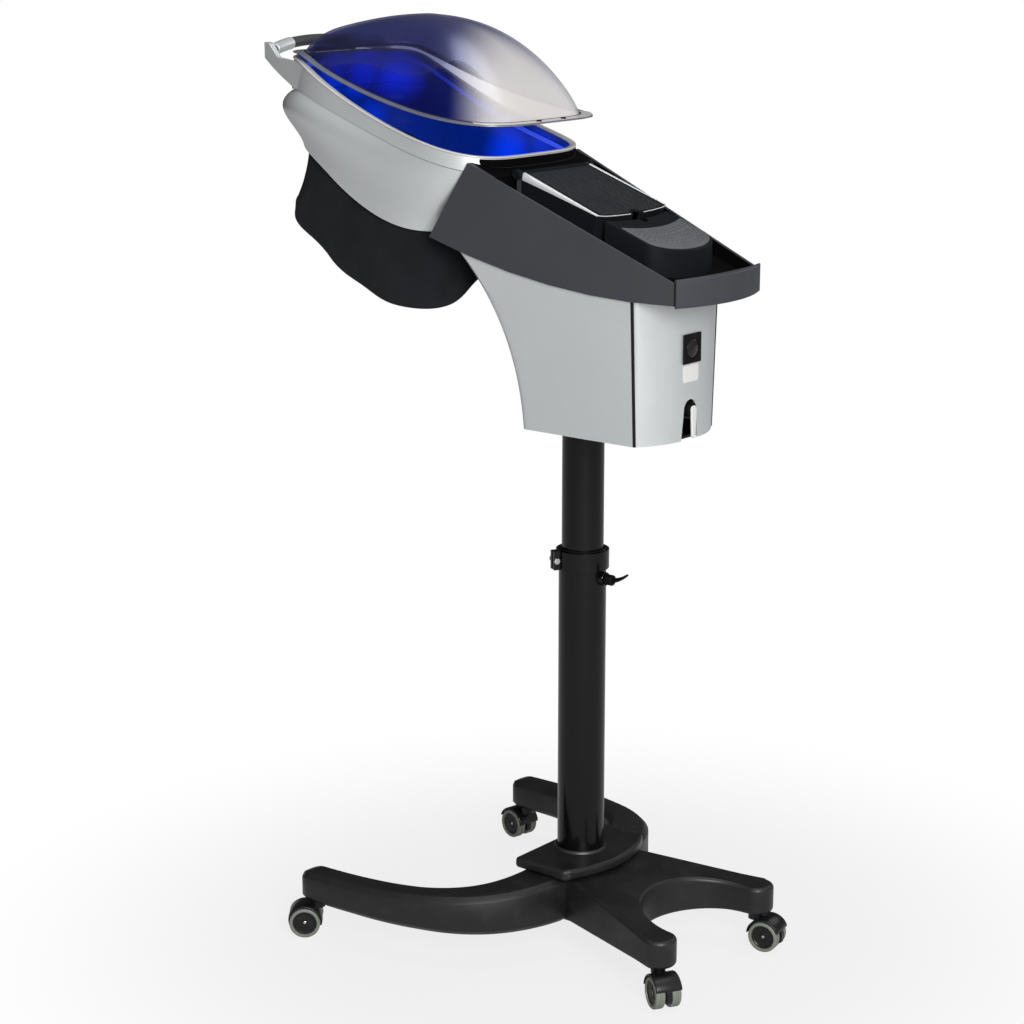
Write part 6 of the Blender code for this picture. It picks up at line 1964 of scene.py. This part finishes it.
@dataclass
class Curtain:
    """Cloth that hangs from the mouth round the sides and back of the neck."""

    hood: Hood
    inset: float = 0.0089
    tuck: float = 0.012
    drop: float = 0.120
    flare: float = 0.022
    rear_rise: float = 0.055
    face: float = 42.0
    corner: float = 0.06
    folds: int = 9
    depth: float = 0.003
    across: int = 260
    down: int = 48
    cloth: float = 0.0011
    hem_rows: tuple[float, ...] = (0.925, 0.95, 0.975, 1.0)
    hem_half: float = 0.0009
    stitches: int = 150
    stitch_row: float = 0.932

    def point(self, along: float, t: float, out: float = 0.0) -> Vector:
        """A point of the cloth.

        Args:
            along: share of the way round, from one front edge to the other.
            t: share of the way down.
            out: offset outwards from the cloth.

        Returns:
            The point in the head's frame.
        """
        hood = self.hood
        gap = math.radians(self.face)
        a = mix(gap, math.tau - gap, along) - math.pi / 2
        c, s = math.cos(a), math.sin(a)
        reach = squircle(c, s, hood.square)
        end = min(along, 1 - along) / self.corner
        drop = self.drop * (1 if end > 1 else 0.78 + 0.22 * math.sqrt(1 - (1 - end) ** 2))
        drop -= self.rear_rise * max(0, s) ** 10
        wave = math.sin(math.tau * self.folds * along + 0.6 * math.sin(5 * along + 3 * t))
        small = noise.noise(Vector((along * 26, t * 2.2, 1.7)))
        small += 0.5 * noise.noise(Vector((along * 60, t * 5.0, 4.1)))
        fold = self.depth * t * (1 - wave) + 0.0006 * small * math.sqrt(t)
        depth = self.inset + fold - self.flare * t * t - out
        x = (hood.mouth_width - depth) * c * reach
        y = hood.mouth_centre + (hood.mouth_length - depth) * s * reach
        top = hood.mouth_height(y) + self.tuck
        return Vector((x, y, top - t * (drop + self.tuck)))

    @staticmethod
    def run(points: Sequence[Vector]) -> float:
        """Length along a row of points."""
        return sum((b - a).length for a, b in zip(points, points[1:]))

    def flat(self, grid: Sequence[Ring]) -> tuple[float, float]:
        """Size of the cloth laid flat.

        Args:
            grid: columns of points across the cloth.

        Returns:
            Length and height in metres.
        """
        rows = (0, self.down // 2, self.down)
        lengths = [self.run([column[j] for column in grid]) for j in rows]
        heights = [self.run(column) for column in grid[::20]]
        return round(sum(lengths) / len(rows), 3), round(sum(heights) / len(heights), 3)

    def hem(self) -> bpy.types.Object:
        """Turned hem along the lower edge.

        Returns:
            The piece.
        """
        rings = []
        for a in shares(self.across):
            ring = [self.point(a, t, self.hem_half) for t in self.hem_rows]
            rings.append(ring + [self.point(a, t, -self.hem_half) for t in reversed(self.hem_rows)])
        return Solid("curtain_hem", HEAD).loft(rings).done(CLOTH, "head", sharp=70)

    def stitching(self) -> bpy.types.Object:
        """Short stitches that hold the hem.

        Returns:
            The piece.
        """
        thread = Solid("curtain_stitches", HEAD)
        count = self.stitches
        for i in range(count):
            first, last = (i + 0.2) / count, (i + 0.75) / count
            thread.tube([self.point(mix(first, last, k / 2), self.stitch_row, 0.0012 + 0.0002 * (k == 1))
                         for k in range(3)], 0.00035, 5)
        return thread.done(SEAL, "head")

    def build(self) -> None:
        """Make the cloth, its hem and the stitching along it."""
        grid = [[self.point(a, t) for t in shares(self.down)] for a in shares(self.across)]
        cloth = Solid("curtain_cloth", HEAD).loft(grid, caps=False, closed=False).done(
            CLOTH, "head", ("neck_curtain",), sharp=180)
        thick = cloth.modifiers.new("cloth", "SOLIDIFY")
        thick.thickness = self.cloth
        thick.offset = 0
        hem = self.hem()
        stitches = self.stitching()


# Studio

@dataclass(frozen=True)
class SoftBox:
    """One round soft lamp: where it stands, where it points, its width and its power."""

    name: str
    at: tuple[float, float, float]
    aim: tuple[float, float, float]
    size: float
    power: float

    def build(self) -> None:
        """Hang the lamp."""
        data = bpy.data.lights.new(self.name, "AREA")
        data.shape = "DISK"
        data.size = self.size
        data.energy = self.power
        made = bpy.data.objects.new(self.name, data)
        bpy.context.scene.collection.objects.link(made)
        made.location = self.at
        made.rotation_euler = (Vector(self.aim) - Vector(self.at)).to_track_quat("-Z", "Y").to_euler()


@dataclass
class Studio:
    """Pale floor, white surroundings, soft lamps and the camera."""

    eye: tuple[float, float, float] = (3.024, 2.2975, 1.6525)
    around: float = 38.9
    down: float = 14.0
    lens: float = 87.9
    fill: float = 0.11
    mirrored: float = 0.40
    bright: tuple[float, float, float] = (0.50, 0.80, 0.33)
    floor_half: float = 9.0
    floor_drop: float = 0.0004
    floor_grey: Colour = (0.50, 0.50, 0.50)
    fade: tuple[float, float] = (0.35, 1.1)
    lamps: tuple[SoftBox, ...] = (
        SoftBox("key", (2.4, 2.8, 2.2), (0, 0, 1.0), 2.0, 150),
        SoftBox("top", (-0.2, 0.2, 3.2), (0, -0.1, 1.0), 2.2, 26),
        SoftBox("rim", (-2.6, 0.4, 2.0), (0, 0, 1.0), 1.6, 6))

    def camera(self) -> None:
        """Camera at the photograph's angle."""
        data = bpy.data.cameras.new("portrait")
        data.lens = self.lens
        data.sensor_width = 36.0
        data.clip_end = 50.0
        made = bpy.data.objects.new("portrait", data)
        bpy.context.scene.collection.objects.link(made)
        turn, tilt = math.radians(self.around), math.radians(self.down)
        gaze = Vector((-math.cos(turn) * math.cos(tilt), -math.sin(turn) * math.cos(tilt), -math.sin(tilt)))
        made.location = self.eye
        made.rotation_euler = gaze.to_track_quat("-Z", "Y").to_euler()
        bpy.context.scene.camera = made

    @staticmethod
    def rays(graph: Graph) -> tuple[Value, Value]:
        """Tell the rays apart.

        Args:
            graph: graph of the material or world.

        Returns:
            Rays from the eye, straight or through clear pieces, and rays that come off a gloss.
        """
        path = graph.node("ShaderNodeLightPath", output="Is Camera Ray")
        kinds = path.socket.node.outputs
        clear, gloss = (Value(graph, kinds[name]) for name in ("Is Transmission Ray", "Is Glossy Ray"))
        return path.high(clear), gloss

    def surroundings(self) -> None:
        """White world for the eye, a plain fill for the rest, brighter on the side of the key lamp."""
        world = bpy.data.worlds.new("studio")
        bpy.context.scene.world = world
        graph = Graph(world)
        eye, gloss = self.rays(graph)
        aim = graph.node("ShaderNodeTexCoord", output="Generated")
        pair = {0: aim, 1: self.bright}
        side = graph.node("ShaderNodeVectorMath", {"operation": "DOT_PRODUCT"}, pair, "Value")
        fill = (gloss * (self.mirrored - self.fill) + self.fill) * side.smooth(-0.5, 0.9, 0.15, 1.6)
        light = graph.node("ShaderNodeBackground", inputs={
            "Color": (1, 1, 1, 1), "Strength": eye + (1.0 - eye) * fill})
        graph.output(light, "ShaderNodeOutputWorld")

    def floor(self) -> None:
        """Pale floor that keeps the shadow near the object and fades to white."""
        mesh = bpy.data.meshes.new("floor")
        half = self.floor_half
        corners = [(-half, -half, 0), (half, -half, 0), (half, half, 0), (-half, half, 0)]
        mesh.from_pydata(corners, [], [(0, 1, 2, 3)])
        ground = bpy.data.objects.new("floor", mesh)
        ground.location.z = -self.floor_drop
        bpy.context.scene.collection.objects.link(ground)
        paint = bpy.data.materials.new("floor")
        graph = Graph(paint)
        eye, gloss = self.rays(graph)
        x, y, _ = graph.axes()
        far = ((x * x + y * y) ** 0.5).smooth(*self.fade, 0.80, 1.0)
        matt = graph.node("ShaderNodeBsdfDiffuse", inputs={"Color": (*self.floor_grey, 1)})
        white = graph.node("ShaderNodeEmission", inputs={"Color": (1, 1, 1, 1), "Strength": 1.0})
        graph.output(graph.blend(eye.high(gloss * self.mirrored) * far, matt, white))
        mesh.materials.append(paint)

    def build(self) -> None:
        """Set the stage."""
        bpy.context.scene.view_settings.view_transform = "Standard"
        self.camera()
        self.surroundings()
        self.floor()
        for lamp in self.lamps:
            lamp.build()


def main() -> None:
    """Build every sub-assembly in order."""
    logging.basicConfig(level=logging.INFO, format="%(name)s: %(message)s")
    Studio().build()
    Base().build()
    Column().build()
    for corner in Corner:
        Castor(corner).build()
    Housing().build()
    Deck().build()
    hood = Hood()
    hood.build()
    Lid(hood).build()
    Curtain(hood).build()


if __name__ == "__main__":
    main()
